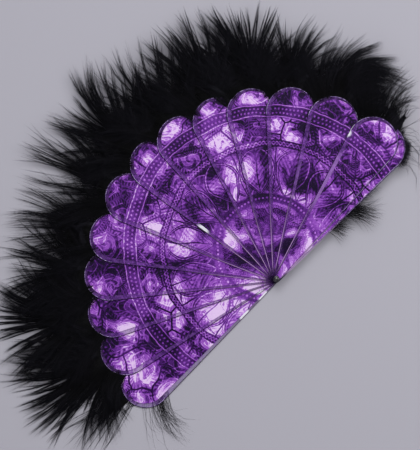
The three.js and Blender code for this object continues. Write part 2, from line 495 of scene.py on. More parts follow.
@dataclass(frozen=True)
class Lotus:
    """Two staggered rows of pointed petals with a midrib, side veins and a dark fringe.

    A row has the share of a petal that it is turned by, and what it adds at the foot and the point.
    """

    inside: float = 41.0
    outside: float = 76.0
    count: int = 14
    rows: tuple[tuple[float, float, float], ...] = ((0.0, -0.02, 0.14), (0.5, 0.26, 0.02))
    ground_share: float = 0.9
    petal_share: float = 0.85
    foot_bow: float = 0.75
    point_bow: float = 0.55
    fullness: float = 2.35
    vein_pitch: float = 2.1
    vein_lean: float = 1.5
    vein_tone: float = 0.09
    midrib: float = 0.6
    midrib_tone: float = 0.14
    fringe_edge: tuple[float, float] = (2.2, 3.0)
    fringe_tone: float = 0.16
    fringe_veins: float = 0.10
    rim: float = 1.3
    rim_width: float = 0.5
    rim_tone: float = 0.36
    outline: float = 0.06
    outline_edge: tuple[float, float] = (0.4, 0.8)
    petal_edge: tuple[float, float] = (0.0, 0.3)

    def tone(self, g: Graph, polar: Polar, ground: Wire) -> Wire:
        """Draws both rows.

        Args:
            g: the material's graph.
            polar: the place about the heart.
            ground: the tone that they are drawn on.

        Returns:
            The tone.
        """
        middle = (self.inside + self.outside) / 2
        width = math.pi * middle / self.count * self.fullness
        tone = ground * self.ground_share
        for shift, foot_tone, point_tone in self.rows:
            across, along = polar.repeat(g, middle, self.count, shift)
            rise = along / (self.outside - self.inside) + 0.5
            foot, point = g.math("MAXIMUM", rise, 0.001), g.math("MAXIMUM", 1 - rise, 0.001)
            edge = foot ** self.foot_bow * point ** self.point_bow * width - g.size(across)
            veins = g.sine(g.size(across) * self.vein_pitch - along * self.vein_lean)
            fringe = self.fringe_tone + veins * self.fringe_veins
            body = ground * self.petal_share + foot_tone + (point_tone - foot_tone) * rise
            body = body + veins * self.vein_tone
            body = g.blend(body, self.midrib_tone, g.line(across, self.midrib))
            body = g.blend(body, fringe, 1 - g.step(*self.fringe_edge, edge))
            body = body + g.line(edge - self.rim, self.rim_width) * self.rim_tone
            body = g.blend(body, self.outline, 1 - g.step(*self.outline_edge, edge))
            tone = g.blend(tone, body, g.step(*self.petal_edge, edge))
        return tone


@dataclass(frozen=True)
class Scrolls:
    """Scroll medallions side by side: curls of fine line inside a feathered border.

    grain is the distance from one medallion to the next, and winding the radians that an arm turns
    by in each millimetre outwards.
    """

    grain: float
    winding: float
    random: float = 0.8
    arms: float = 2.0
    ground_share: float = 0.95
    lift: float = 0.02
    kind_tone: float = 0.10
    arm_tone: float = 0.11
    fall: float = 0.008
    line_middle: float = 0.2
    line_edge: tuple[float, float] = (0.05, 0.40)
    line_tone: float = 0.22
    hairs: float = 26.0
    hair_lean: float = 1.2
    hair_tone: float = 0.15
    fringe_share: float = 0.7
    fringe_edge: tuple[float, float] = (3.4, 2.6)
    rim: float = 3.6
    rim_width: float = 0.5
    outline: float = 0.06
    outline_edge: tuple[float, float] = (0.4, 0.8)

    def tone(self, g: Graph, drawn: Wire, ground: Wire) -> Wire:
        """Draws the medallions.

        Args:
            g: the material's graph.
            drawn: the place in the print.
            ground: the tone that they are drawn on.

        Returns:
            The tone.
        """
        cell = (drawn, self.grain)
        offset = g.vectors("SUBTRACT", drawn, g.cells(*cell, "Position", self.random))
        kind = g.axis(g.cells(*cell, "Color", self.random), "X")
        edge = g.cells(*cell, "Distance", self.random, "DISTANCE_TO_EDGE") * self.grain
        across, along = g.axis(offset, "X"), g.axis(offset, "Y")
        distance = g.length(across, along)
        spin = g.math("ARCTAN2", along, across)
        hand = g.step(0.49, 0.51, kind) * 2 - 1
        arm = g.sine(spin * hand * self.arms - distance * self.winding)
        tone = ground * self.ground_share + self.lift + kind * self.kind_tone
        tone = tone + arm * self.arm_tone - distance * self.fall
        line = 1 - g.step(*self.line_edge, g.size(arm - self.line_middle))
        tone = tone + line * self.line_tone
        hairs = g.sine(spin * self.hairs + distance * hand * self.hair_lean)
        fringe = ground * self.fringe_share + self.lift + hairs * self.hair_tone
        tone = g.blend(tone, fringe, g.step(*self.fringe_edge, edge))
        tone = tone + g.line(edge - self.rim, self.rim_width) * self.line_tone
        return g.blend(tone, self.outline, 1 - g.step(*self.outline_edge, edge))


@dataclass(frozen=True)
class Band:
    """A plain ring."""

    ring: float
    width: float
    light: float

    def over(self, g: Graph, tone: Wire, polar: Polar) -> Wire:
        """The tone with the band on it."""
        return g.blend(tone, self.light, g.line(polar.radius - self.ring, self.width))


@dataclass(frozen=True)
class Beads:
    """A ring of round beads, each with a dark edge and a light spot.

    size is a bead's radius. The limits of its core and of its dark edge are shares of it.
    """

    ring: float
    count: int
    size: float
    shift: float = 0.0
    dark: float = 0.08
    light: float = 0.60
    fall: float = 0.4
    core: tuple[float, float] = (0.75, 1.0)
    edge: tuple[float, float] = (1.1, 1.35)

    def over(self, g: Graph, tone: Wire, polar: Polar) -> Wire:
        """Draws the beads.

        Args:
            g: the material's graph.
            tone: the tone below.
            polar: the place about the heart.

        Returns:
            The tone with the beads on it.
        """
        share = g.length(*polar.repeat(g, self.ring, self.count, self.shift)) * (1 / self.size)
        tone = g.blend(tone, self.dark, 1 - g.step(*self.edge, share))
        return g.blend(tone, self.light - share * self.fall, 1 - g.step(*self.core, share))


@dataclass(frozen=True)
class Rope:
    """A ring of two strands that twist round each other between dark borders."""

    ring: float
    half: float = 1.9
    swing: float = 1.14
    twists: float = 96.0
    border: float = 2.565
    border_softness: float = 0.3
    border_tone: float = 0.10
    strand: float = 0.7
    light: float = 0.60
    dim: float = 0.42

    def over(self, g: Graph, tone: Wire, polar: Polar) -> Wire:
        """Draws the rope.

        Args:
            g: the material's graph.
            tone: the tone below.
            polar: the place about the heart.

        Returns:
            The tone with the rope on it.
        """
        along = polar.radius - self.ring
        wave = g.sine(polar.turn * self.twists) * self.swing
        edge = g.step(-self.border_softness, self.border_softness, self.border - g.size(along))
        tone = g.blend(tone, self.border_tone, edge)
        tone = g.blend(tone, self.light, g.line(along - wave, self.strand))
        return g.blend(tone, self.dim, g.line(along + wave, self.strand))


# Finishes


@dataclass(frozen=True)
class Mottle:
    """Soft noise in a finish, curled by its swirls and cut off at its limits where it has them.

    grain is the size of its features. detail and rough set its finer layers.
    """

    grain: float
    detail: float = 2.0
    rough: float = 0.5
    swirls: tuple[Swirl, ...] = ()
    limits: tuple[float, ...] = ()

    def tone(self, g: Graph, place: Wire) -> Wire:
        """The noise, from 0 to 1."""
        noise = g.noise(g.swirled(place, *self.swirls), self.grain, self.detail, self.rough)
        return g.step(*self.limits, noise) if self.limits else noise


@dataclass(frozen=True)
class PetalPrint:
    """Glossy print: agate marbling in violets, drawn over with rings of traditional ornament.

    The rings are drawn about a heart near the pivot: lattice, then lotus, then two fields of
    scrolls, each from its own radius on, with beads, a rope and a beaded cord between them. Each
    ring of light is about the pivot: its middle, where it begins, where it is full, what it adds.
    """

    stops: tuple[tuple[float, Colour], ...] = (
        (0.00, (0.007, 0.001, 0.020)),
        (0.10, (0.022, 0.002, 0.055)),
        (0.24, (0.062, 0.010, 0.140)),
        (0.40, (0.145, 0.028, 0.300)),
        (0.56, (0.275, 0.072, 0.482)),
        (0.72, (0.430, 0.160, 0.655)),
        (0.87, (0.610, 0.330, 0.800)),
        (1.00, (0.760, 0.560, 0.870)),
    )
    agate: Agate = Agate()
    line_tone: float = 0.05
    patches: tuple[Any, ...] = (Filigree(), Scales())
    patch_swirl: Swirl = (13.0, 5.0)
    patch_tone: float = 0.13
    heart: tuple[float, float] = (12.0, 20.0)
    hand_swirls: tuple[Swirl, ...] = ((30.0, 2.4), (9.0, 0.9))
    lattice: Lattice = Lattice()
    lotus: Lotus = Lotus()
    inner_scrolls: Scrolls = Scrolls(19.0, 1.1)
    inner_from: float = 79.0
    outer_scrolls: Scrolls = Scrolls(25.0, 0.9)
    outer_swirl: Swirl = (16.0, 5.0)
    outer_from: float = 104.0
    seam: float = 0.3
    rings: tuple[Any, ...] = (
        Band(38.0, 5.0, 0.13),
        Beads(38.0, 84, 1.15),
        Rope(79.0),
        Band(104.0, 7.0, 0.13),
        Beads(102.4, 212, 1.1),
        Beads(105.6, 212, 1.1, 0.5),
        Band(99.6, 0.5, 0.62),
        Band(108.4, 0.5, 0.62),
    )
    contrast: float = 1.06
    lightness: float = 0.035
    wash: Mottle = Mottle(34.0, 1.0, swirls=((40.0, 18.0),), limits=(0.36, 0.64))
    wash_depth: float = 0.28
    cloud: Mottle = Mottle(15.0, 3.0, 0.55, ((14.0, 5.0),), (0.36, 0.60))
    cloud_depth: float = 0.14
    grain: Mottle = Mottle(1.4, 3.0, 0.65, ((3.0, 1.2),))
    grain_depth: float = 0.55
    contour_line: tuple[float, float] = (-0.1, 0.7)
    contour_from: tuple[float, float] = (0.55, 0.85)
    contour_depth: float = 0.30
    waviness: Mottle = Mottle(22.0, 1.0)
    wave_height: float = 0.6 * MM
    light_rings: tuple[tuple[float, float, float, float], ...] = (
        (0.0, 26.0, 8.0, 0.36),
        (46.0, 24.0, 8.0, 0.18),
        (76.0, 18.0, 6.0, -0.07),
        (0.0, 88.0, 104.0, 0.09),
    )
    side_shade: tuple[float, float, float] = (50.0, 125.0, 0.15)

    def ground(self, g: Graph, flat: Wire) -> tuple[Wire, Wire]:
        """What the rings are drawn on: the marbling, with patches of filigree and of scales.

        Args:
            g: the material's graph.
            flat: the place in the print.

        Returns:
            The tone, and the marbling's fine lines from -1 to 1.
        """
        tone, lines = self.agate.tone(g, flat)
        loose = g.swirled(flat, self.patch_swirl)
        tone = tone + lines * self.line_tone
        for patch in self.patches:
            tone = tone + patch.tone(g, loose) * self.patch_tone
        return tone, lines

    def ornament(self, g: Graph, flat: Wire, ground: Wire) -> Wire:
        """The rings of ornament.

        Args:
            g: the material's graph.
            flat: the place in the print.
            ground: the tone that they are drawn on.

        Returns:
            The tone.
        """
        drawn = g.swirled(flat, *self.hand_swirls)
        across, along = g.axis(drawn, "X") - self.heart[0], g.axis(drawn, "Y") - self.heart[1]
        polar = Polar(g.math("ARCTAN2", along, across), g.length(across, along))
        loose = g.swirled(flat, self.outer_swirl)
        tone = self.lattice.tone(g, polar, ground)
        for start, field in (
            (self.lotus.inside, self.lotus.tone(g, polar, ground)),
            (self.inner_from, self.inner_scrolls.tone(g, drawn, ground)),
            (self.outer_from, self.outer_scrolls.tone(g, loose, ground)),
        ):
            tone = g.blend(tone, field, g.step(start - self.seam, start + self.seam, polar.radius))
        for ring in self.rings:
            tone = ring.over(g, tone, polar)
        return tone

    def lit(self, g: Graph, tone: Wire, flat: Wire) -> Wire:
        """Lightens the print in rings about the pivot, and darkens it towards both sides.

        Args:
            g: the material's graph.
            tone: the tone so far.
            flat: the place in the print.

        Returns:
            The tone.
        """
        pivot = g.from_pivot(flat)
        for middle, begins, full, amount in self.light_rings:
            tone = tone + g.step(begins, full, g.size(pivot - middle)) * amount
        begins, full, amount = self.side_shade
        return tone - g.step(begins, full, g.size(g.axis(flat, "X"))) * amount

    def material(self) -> bpy.types.Material:
        """Builds the finish.

        Returns:
            The finished print.
        """
        g = Graph("petal_print")
        flat = g.flattened(g.place())
        ground, lines = self.ground(g, flat)
        wash, grain = self.wash.tone(g, flat) - 0.5, self.grain.tone(g, flat) - 0.5
        cloud = self.cloud.tone(g, flat)
        tone = self.ornament(g, flat, ground) * self.contrast + self.lightness
        tone = tone + wash * self.wash_depth + (cloud - 0.5) * self.cloud_depth
        tone = self.lit(g, tone + grain * self.grain_depth, flat)
        cuts = g.step(*self.contour_line, lines) * g.step(*self.contour_from, tone)
        return g.finish({
            "Base Color": g.ramp(tone - cuts * self.contour_depth, self.stops),
            "Roughness": 0.42 - 0.1 * cloud,
            "Specular IOR Level": 0.06,
            "Coat Weight": 0.14,
            "Coat Roughness": 0.05,
            "Normal": g.bump(self.waviness.tone(g, flat), self.wave_height),
        })


@dataclass(frozen=True)
class PaperBack:
    """Uncoated side and cut edge of the card: off-white paper with fibres."""

    pale: Colour = (0.74, 0.71, 0.74)
    dull: Colour = (0.60, 0.56, 0.62)
    fibres: Mottle = Mottle(0.7, 4.0, 0.7)
    fibre_stretch: tuple[float, float, float] = (1.0, 3.0, 1.0)
    fibre_height: float = 0.03 * MM
    clouds: Mottle = Mottle(14.0)

    def material(self) -> bpy.types.Material:
        """Builds the finish.

        Returns:
            The finished paper.
        """
        g = Graph("card_paper")
        place = g.place()
        fibres = self.fibres.tone(g, g.stretched(place, self.fibre_stretch))
        clouds = self.clouds.tone(g, place)
        return g.finish({
            "Base Color": g.tint(self.dull, self.pale, fibres * 0.6 + clouds * 0.5),
            "Roughness": 0.62 + 0.2 * fibres,
            "Coat Weight": 0.6,
            "Coat Roughness": 0.08,
            "Normal": g.bump(fibres, self.fibre_height),
        })


@dataclass(frozen=True)
class ClearFilm:
    """Film where it lies on the card: all but unseen."""

    colour: Colour = (0.20, 0.18, 0.24)
    alpha: float = 0.004
    smudges: Mottle = Mottle(9.0, 3.0, 0.6)

    def material(self) -> bpy.types.Material:
        """Builds the finish.

        Returns:
            The finished film.
        """
        g = Graph("clear_film")
        smudges = self.smudges.tone(g, g.place())
        return g.finish({
            "Base Color": self.colour,
            "Roughness": 0.06 + 0.1 * smudges,
            "Alpha": self.alpha,
        })


@dataclass(frozen=True)
class MarginFilm:
    """What the finishes of the film's margin share: the sticks crowd together near the pivot."""

    crowded: float = 22.0
    apart: float = 74.0

    def near_pivot(self, g: Graph, place: Wire) -> Wire:
        """1 where the sticks crowd at the pivot, and 0 from the middle of the blades on."""
        return 1 - g.step(self.crowded, self.apart, g.from_pivot(place))


@dataclass(frozen=True)
class WeldedFilm(MarginFilm):
    """Film where its two sheets are welded: a see-through violet margin, milky in streaks.

    It has a wide patch of painted reflection, painted glints as from lifted film, and painted shade
    near the pivot.
    """

    deep: Colour = (0.120, 0.034, 0.280)
    milky: Colour = (0.330, 0.125, 0.590)
    shaded: Colour = (0.018, 0.006, 0.045)
    # The next two colours are a painted reflection and painted glints.
    reflected_lilac: Colour = (0.480, 0.250, 0.700)
    glint_white: Colour = (0.800, 0.780, 0.880)
    alpha: float = 0.18
    streaks: Mottle = Mottle(3.0, 3.0, 0.6, ((8.0, 3.0),), (0.3, 0.7))
    # Where the painted glints and the patch of painted reflection lie: X, Y and radius.
    glints: tuple[Spot, ...] = ((-12.2, 65.5, 7), (116, 36.3, 4), (-16, -1.5, 6), (-36, -1, 6.5))
    reflection_patch: tuple[Spot, ...] = ((80, 22, 30),)

    def material(self) -> bpy.types.Material:
        """Builds the finish.

        Returns:
            The finished weld.
        """
        g = Graph("welded_film")
        place = g.place()
        streaks = self.streaks.tone(g, place)
        glint, reflection_patch = g.spots(place, self.glints), g.spots(place, self.reflection_patch)
        near = self.near_pivot(g, place)
        # Painted shade near the pivot, where the sticks crowd.
        body = g.tint(g.tint(self.deep, self.milky, streaks), self.shaded, near * 0.45)
        alpha = self.alpha * (0.8 + 0.5 * streaks) + near * 0.06 + reflection_patch * 0.25 + glint * 0.7
        return g.finish({
            # A patch of painted reflection, then painted glints in near white.
            "Base Color": g.tint(g.tint(body, self.reflected_lilac, reflection_patch * 0.7), self.glint_white, glint),
            "Roughness": 0.08 + 0.12 * streaks,
            "Specular IOR Level": 0.06,
            "Alpha": alpha,
        })


@dataclass(frozen=True)
class FilmRim(MarginFilm):
    """Painted highlight just inside the film's cut edge: a light line, palest near the pivot, and
    a few painted glints.
    """

    # The colours of the painted highlight line: dim to bright, paler near the pivot, white at glints.
    dim: Colour = (0.110, 0.050, 0.240)
    edge_highlight: Colour = (0.600, 0.470, 0.820)
    drawn: Colour = (0.860, 0.620, 0.980)
    glint_white: Colour = (0.850, 0.830, 0.920)
    shine: Mottle = Mottle(2.2, 3.0, 0.6, limits=(0.38, 0.66))
    glints: tuple[Spot, ...] = (
        (116, 36.3, 9), (-12.2, 65.5, 7), (-16, -1.5, 6), (-36, -1, 6.5),
        (44, 118, 4), (-92, 58, 5), (-60, 14, 4),
    )

    def material(self) -> bpy.types.Material:
        """Builds the finish.

        Returns:
            The finished rim.
        """
        g = Graph("film_rim_highlight")
        place = g.place()
        shine = self.shine.tone(g, place)
        near = self.near_pivot(g, place)
        # Painted highlight: the line where the cut edge catches the light, paler near the pivot.
        line = g.tint(self.dim, self.edge_highlight, shine)
        line = g.tint(line, self.drawn, near * (0.6 + 0.4 * shine))
        return g.finish({
            # Painted glints over the line.
            "Base Color": g.tint(line, self.glint_white, g.spots(place, self.glints)),
            "Roughness": 0.2,
            "Specular IOR Level": 0.05,
            "Alpha": 0.5 + 0.3 * shine + 0.2 * near,
        })


@dataclass(frozen=True)
class FilmEdge(MarginFilm):
    """Cut edge of the film: a dark line round the blade, a painted shadow, that turns pale towards
    the pivot, a painted highlight.

    It is palest on the blades of the fan's upper side, and stays dark, in painted shade, at the rivet
    itself.
    """

    # colour is a painted shadow line, and drawn a painted highlight near the pivot.
    colour: Colour = (0.010, 0.004, 0.024)
    drawn: Colour = (0.820, 0.500, 0.980)
    rivet_shade: tuple[float, float] = (4.0, 14.0)
    upper_side: tuple[float, float] = (-12.0, 8.0)
    lower_share: float = 0.12
    upper_share: float = 0.42

    def material(self) -> bpy.types.Material:
        """Builds the finish.

        Returns:
            The finished edge.
        """
        g = Graph("film_edge_painted_light")
        place = g.place()
        # Painted highlight towards the pivot, strongest on the fan's upper side; painted shade at the
        # rivet.
        upper = g.step(*self.upper_side, g.axis(place, "X") + g.axis(place, "Y"))
        near = self.near_pivot(g, place) * g.step(*self.rivet_shade, g.from_pivot(place))
        pale = near * (self.lower_share + self.upper_share * upper)
        return g.finish({
            "Base Color": g.tint(self.colour, self.drawn, pale),
            "Roughness": 0.3,
            "Specular IOR Level": 0.05,
            "Alpha": 0.92,
        })


@dataclass(frozen=True)
class BlackBarbs:
    """Dyed black plume: dull black at the root, a little blue and thinner in colour at the ends,
    where some barbs get a painted blue-grey sheen.
    """

    root: Colour = (0.0015, 0.0015, 0.0020)
    end: Colour = (0.007, 0.007, 0.011)
    sheen_grey: Colour = (0.020, 0.018, 0.027)
    end_from: tuple[float, float] = (0.3, 1.0)
    sheen_on: tuple[float, float] = (0.55, 1.0)
    sheen_from: tuple[float, float] = (0.2, 0.9)
    uv_name: str = "OFBake"

    def material(self) -> bpy.types.Material:
        """Builds the finish.

        Returns:
            The finished plume.
        """
        g = Graph("black_barbs")
        strand = g.node("ShaderNodeUVMap", {"uv_map": self.uv_name}, {})
        along, tone = g.axis(strand, "X"), g.axis(strand, "Y")
        body = g.tint(self.root, self.end, g.step(*self.end_from, along))
        # Painted sheen: some barbs turn blue-grey towards their ends.
        sheen_mask = g.step(*self.sheen_on, tone) * g.step(*self.sheen_from, along)
        return g.finish({
            "Base Color": g.tint(body, self.sheen_grey, sheen_mask),
            "Roughness": 0.9 - 0.2 * tone,
            "Specular IOR Level": 0.12,
        })


@dataclass(frozen=True)
class BlackSatin:
    """Black satin ribbon: fine weft lines across it and a corded edge on each side."""

    dark: Colour = (0.006, 0.006, 0.008)
    light: Colour = (0.030, 0.028, 0.036)
    weft: float = 300.0
    cord: tuple[float, float] = (0.40, 0.46)
    thread_height: float = 0.05 * MM

    def material(self) -> bpy.types.Material:
        """Builds the finish.

        Returns:
            The finished ribbon.
        """
        g = Graph("black_satin")
        place = g.node("ShaderNodeTexCoord", {}, {}, "UV")
        along, across = g.axis(place, "X"), g.axis(place, "Y")
        threads = g.sine(along * self.weft) * 0.5 + 0.5
        edge = g.step(*self.cord, g.size(across - 0.5))
        height = g.blend(threads, 0.5 + 0.5 * g.sine(along * (self.weft / 2)), edge)
        return g.finish({
            "Base Color": g.tint(self.dark, self.light, height * 0.6 + edge * 0.4),
            "Roughness": 0.34 + 0.25 * edge,
            "Sheen Weight": 0.3,
            "Normal": g.bump(height, self.thread_height),
        })


@dataclass(frozen=True)
class DarkEnamel:
    """Dark enamel on the rivet, rubbed a little thin."""

    dark: Colour = (0.010, 0.009, 0.014)
    worn: Colour = (0.090, 0.080, 0.100)
    wear: Mottle = Mottle(0.6, 4.0, 0.65, limits=(0.70, 0.82))
    dents: Mottle = Mottle(1.2, 3.0)
    dent_height: float = 0.02 * MM

    def material(self) -> bpy.types.Material:
        """Builds the finish.

        Returns:
            The finished enamel.
        """
        g = Graph("dark_enamel")
        place = g.place()
        wear = self.wear.tone(g, place)
        return g.finish({
            "Base Color": g.tint(self.dark, self.worn, wear),
            "Metallic": wear * 0.8,
            "Roughness": 0.28 + 0.3 * wear,
            "Coat Weight": 0.5,
            "Coat Roughness": 0.1,
            "Normal": g.bump(self.dents.tone(g, place), self.dent_height),
        })


@dataclass(frozen=True)
class PlainFloor:
    """Pale matt floor."""

    colour: Colour = (0.42, 0.41, 0.465)

    def material(self) -> bpy.types.Material:
        """Builds the finish.

        Returns:
            The finished floor.
        """
        g = Graph("pale_floor")
        return g.finish({"Base Color": self.colour, "Roughness": 0.9, "Specular IOR Level": 0.1})


# Modelling by hand


class Solids(Enum):
    """How two solids become one."""

    CUT = "DIFFERENCE"
    JOIN = "UNION"


def deselect() -> None:
    """Nothing is selected, in object mode."""
    if bpy.context.object and bpy.context.object.mode != "OBJECT":
        bpy.ops.object.mode_set(mode="OBJECT")
    bpy.ops.object.select_all(action="DESELECT")


def choose(*objects: bpy.types.Object) -> None:
    """Only these objects are selected, and the first is active."""
    deselect()
    for each in objects:
        each.select_set(True)
    bpy.context.view_layer.objects.active = objects[0]


def shape_whole(piece: bpy.types.Object, operator: Callable[..., Any], **settings: Any) -> None:
    """Runs an edit mode operator on all of a piece.

    Args:
        piece: the piece to shape.
        operator: the operator, such as bpy.ops.mesh.convex_hull.
        settings: the operator's own settings.
    """
    choose(piece)
    bpy.ops.object.mode_set(mode="EDIT")
    bpy.ops.mesh.select_all(action="SELECT")
    operator(**settings)
    bpy.ops.object.mode_set(mode="OBJECT")


def open_on_top(piece: bpy.types.Object) -> None:
    """Opens a piece in edit mode with only the faces selected that look straight up.

    Args:
        piece: the piece to open.
    """
    choose(piece)
    bpy.ops.object.mode_set(mode="EDIT")
    bpy.ops.mesh.select_mode(type="FACE")
    bpy.ops.mesh.select_all(action="DESELECT")
    bpy.ops.object.mode_set(mode="OBJECT")
    for polygon in piece.data.polygons:
        polygon.select = polygon.normal.z > 0.99
    bpy.ops.object.mode_set(mode="EDIT")


def apply_modifier(piece: bpy.types.Object, kind: str, **settings: Any) -> None:
    """Adds a modifier and applies it.

    Args:
        piece: the piece to change.
        kind: the modifier's type.
        settings: the modifier's own settings.
    """
    choose(piece)
    modifier = piece.modifiers.new(kind.lower(), kind)
    for key, value in settings.items():
        setattr(modifier, key, value)
    bpy.ops.object.modifier_apply(modifier=modifier.name)


def combine(piece: bpy.types.Object, tool: bpy.types.Object, how: Solids) -> None:
    """Cuts a piece with a tool, or joins the two, and deletes the tool.

    Args:
        piece: the piece that stays.
        tool: the closed shape to cut or join with.
        how: cut or join.
    """
    apply_modifier(piece, "BOOLEAN", operation=how.value, object=tool, solver="EXACT")
    bpy.data.objects.remove(tool)


def smooth(piece: bpy.types.Object, degrees: float) -> None:
    """Shades a piece smooth, but for edges sharper than an angle."""
    choose(piece)
    bpy.ops.object.shade_smooth_by_angle(angle=math.radians(degrees))


def cylinder(
    name: str, radius: float, bottom: float, height: float, sides: int,
    place: tuple[float, float] = (0.0, 0.0),
) -> bpy.types.Object:
    """A cylinder along Z.

    Args:
        name: the object's name.
        radius: its radius.
        bottom: the height of its lower end.
        height: its length.
        sides: how many sides it has.
        place: X and Y of its middle.

    Returns:
        The object, with its place in its mesh.
    """
    deselect()
    bpy.ops.mesh.primitive_cylinder_add(
        vertices=sides, radius=radius, depth=height, location=(*place, bottom + height / 2)
    )
    piece = bpy.context.object
    piece.name = name
    bpy.ops.object.transform_apply(location=True, rotation=True, scale=True)
    return piece


def copied(piece: bpy.types.Object, name: str, place: Matrix) -> bpy.types.Object:
    """A copy of a piece with its own mesh.

    Args:
        piece: the piece to copy.
        name: the copy's name.
        place: the move that its mesh gets.

    Returns:
        The copy.
    """
    twin = piece.copy()
    twin.data = piece.data.copy()
    twin.name = name
    twin.data.name = name
    twin.data.transform(place)
    bpy.context.scene.collection.objects.link(twin)
    return twin


# The frame


@dataclass(frozen=True)
class Seat:
    """Where one blade lies in the open fan: direction, height of its back, reach of its plume."""

    body: str
    direction: float
    level: float
    reach: float

    def place(self) -> Matrix:
        """From a blade along +X with its back at height 0 to the blade's place."""
        return Matrix.Translation((0, 0, self.level)) @ Matrix.Rotation(self.direction, 4, "Z")


def farthest(node: bpy.types.Object) -> Vector:
    """The vertex of a node that is farthest from the pivot."""
    return max((vertex.co for vertex in node.data.vertices), key=lambda place: place.xy.length)


def read_seats(frame: dict[str, Any]) -> list[Seat]:
    """Reads every blade's place from the frame.


    Returns:
        The seats from the rear guard up to the front guard.
    """
    seats = []
    for body in frame["bodies"]:
        tip = farthest(frame["nodes"][f"{body}_film"])
        direction = math.atan2(tip.y, tip.x)
        turn = Matrix.Rotation(-direction, 4, "Z")
        plume = frame["nodes"][f"{body}_plume"].data.vertices
        reach = max((turn @ vertex.co).x for vertex in plume)
        seats.append(Seat(body, direction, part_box(f"{body}_film")[0].z, reach))
    return sorted(seats, key=lambda seat: seat.level)


# Blades


class CardPart(Enum):
    """The parts of a card that have a finish of their own."""

    PRINT = "print"
    PAPER = "paper"


class FilmPart(Enum):
    """The parts of a film that have a finish of their own."""

    CLEAR = "clear"
    WELD = "weld"
    RIM = "rim"
    EDGE = "edge"


@dataclass(frozen=True)
class Layer:
    """One flat slab in a blade's outline: how far it is moved in at either end, height and turn."""

    tip_inset: float
    end_inset: float
    bottom: float
    thickness: float
    turn: float = 0.0


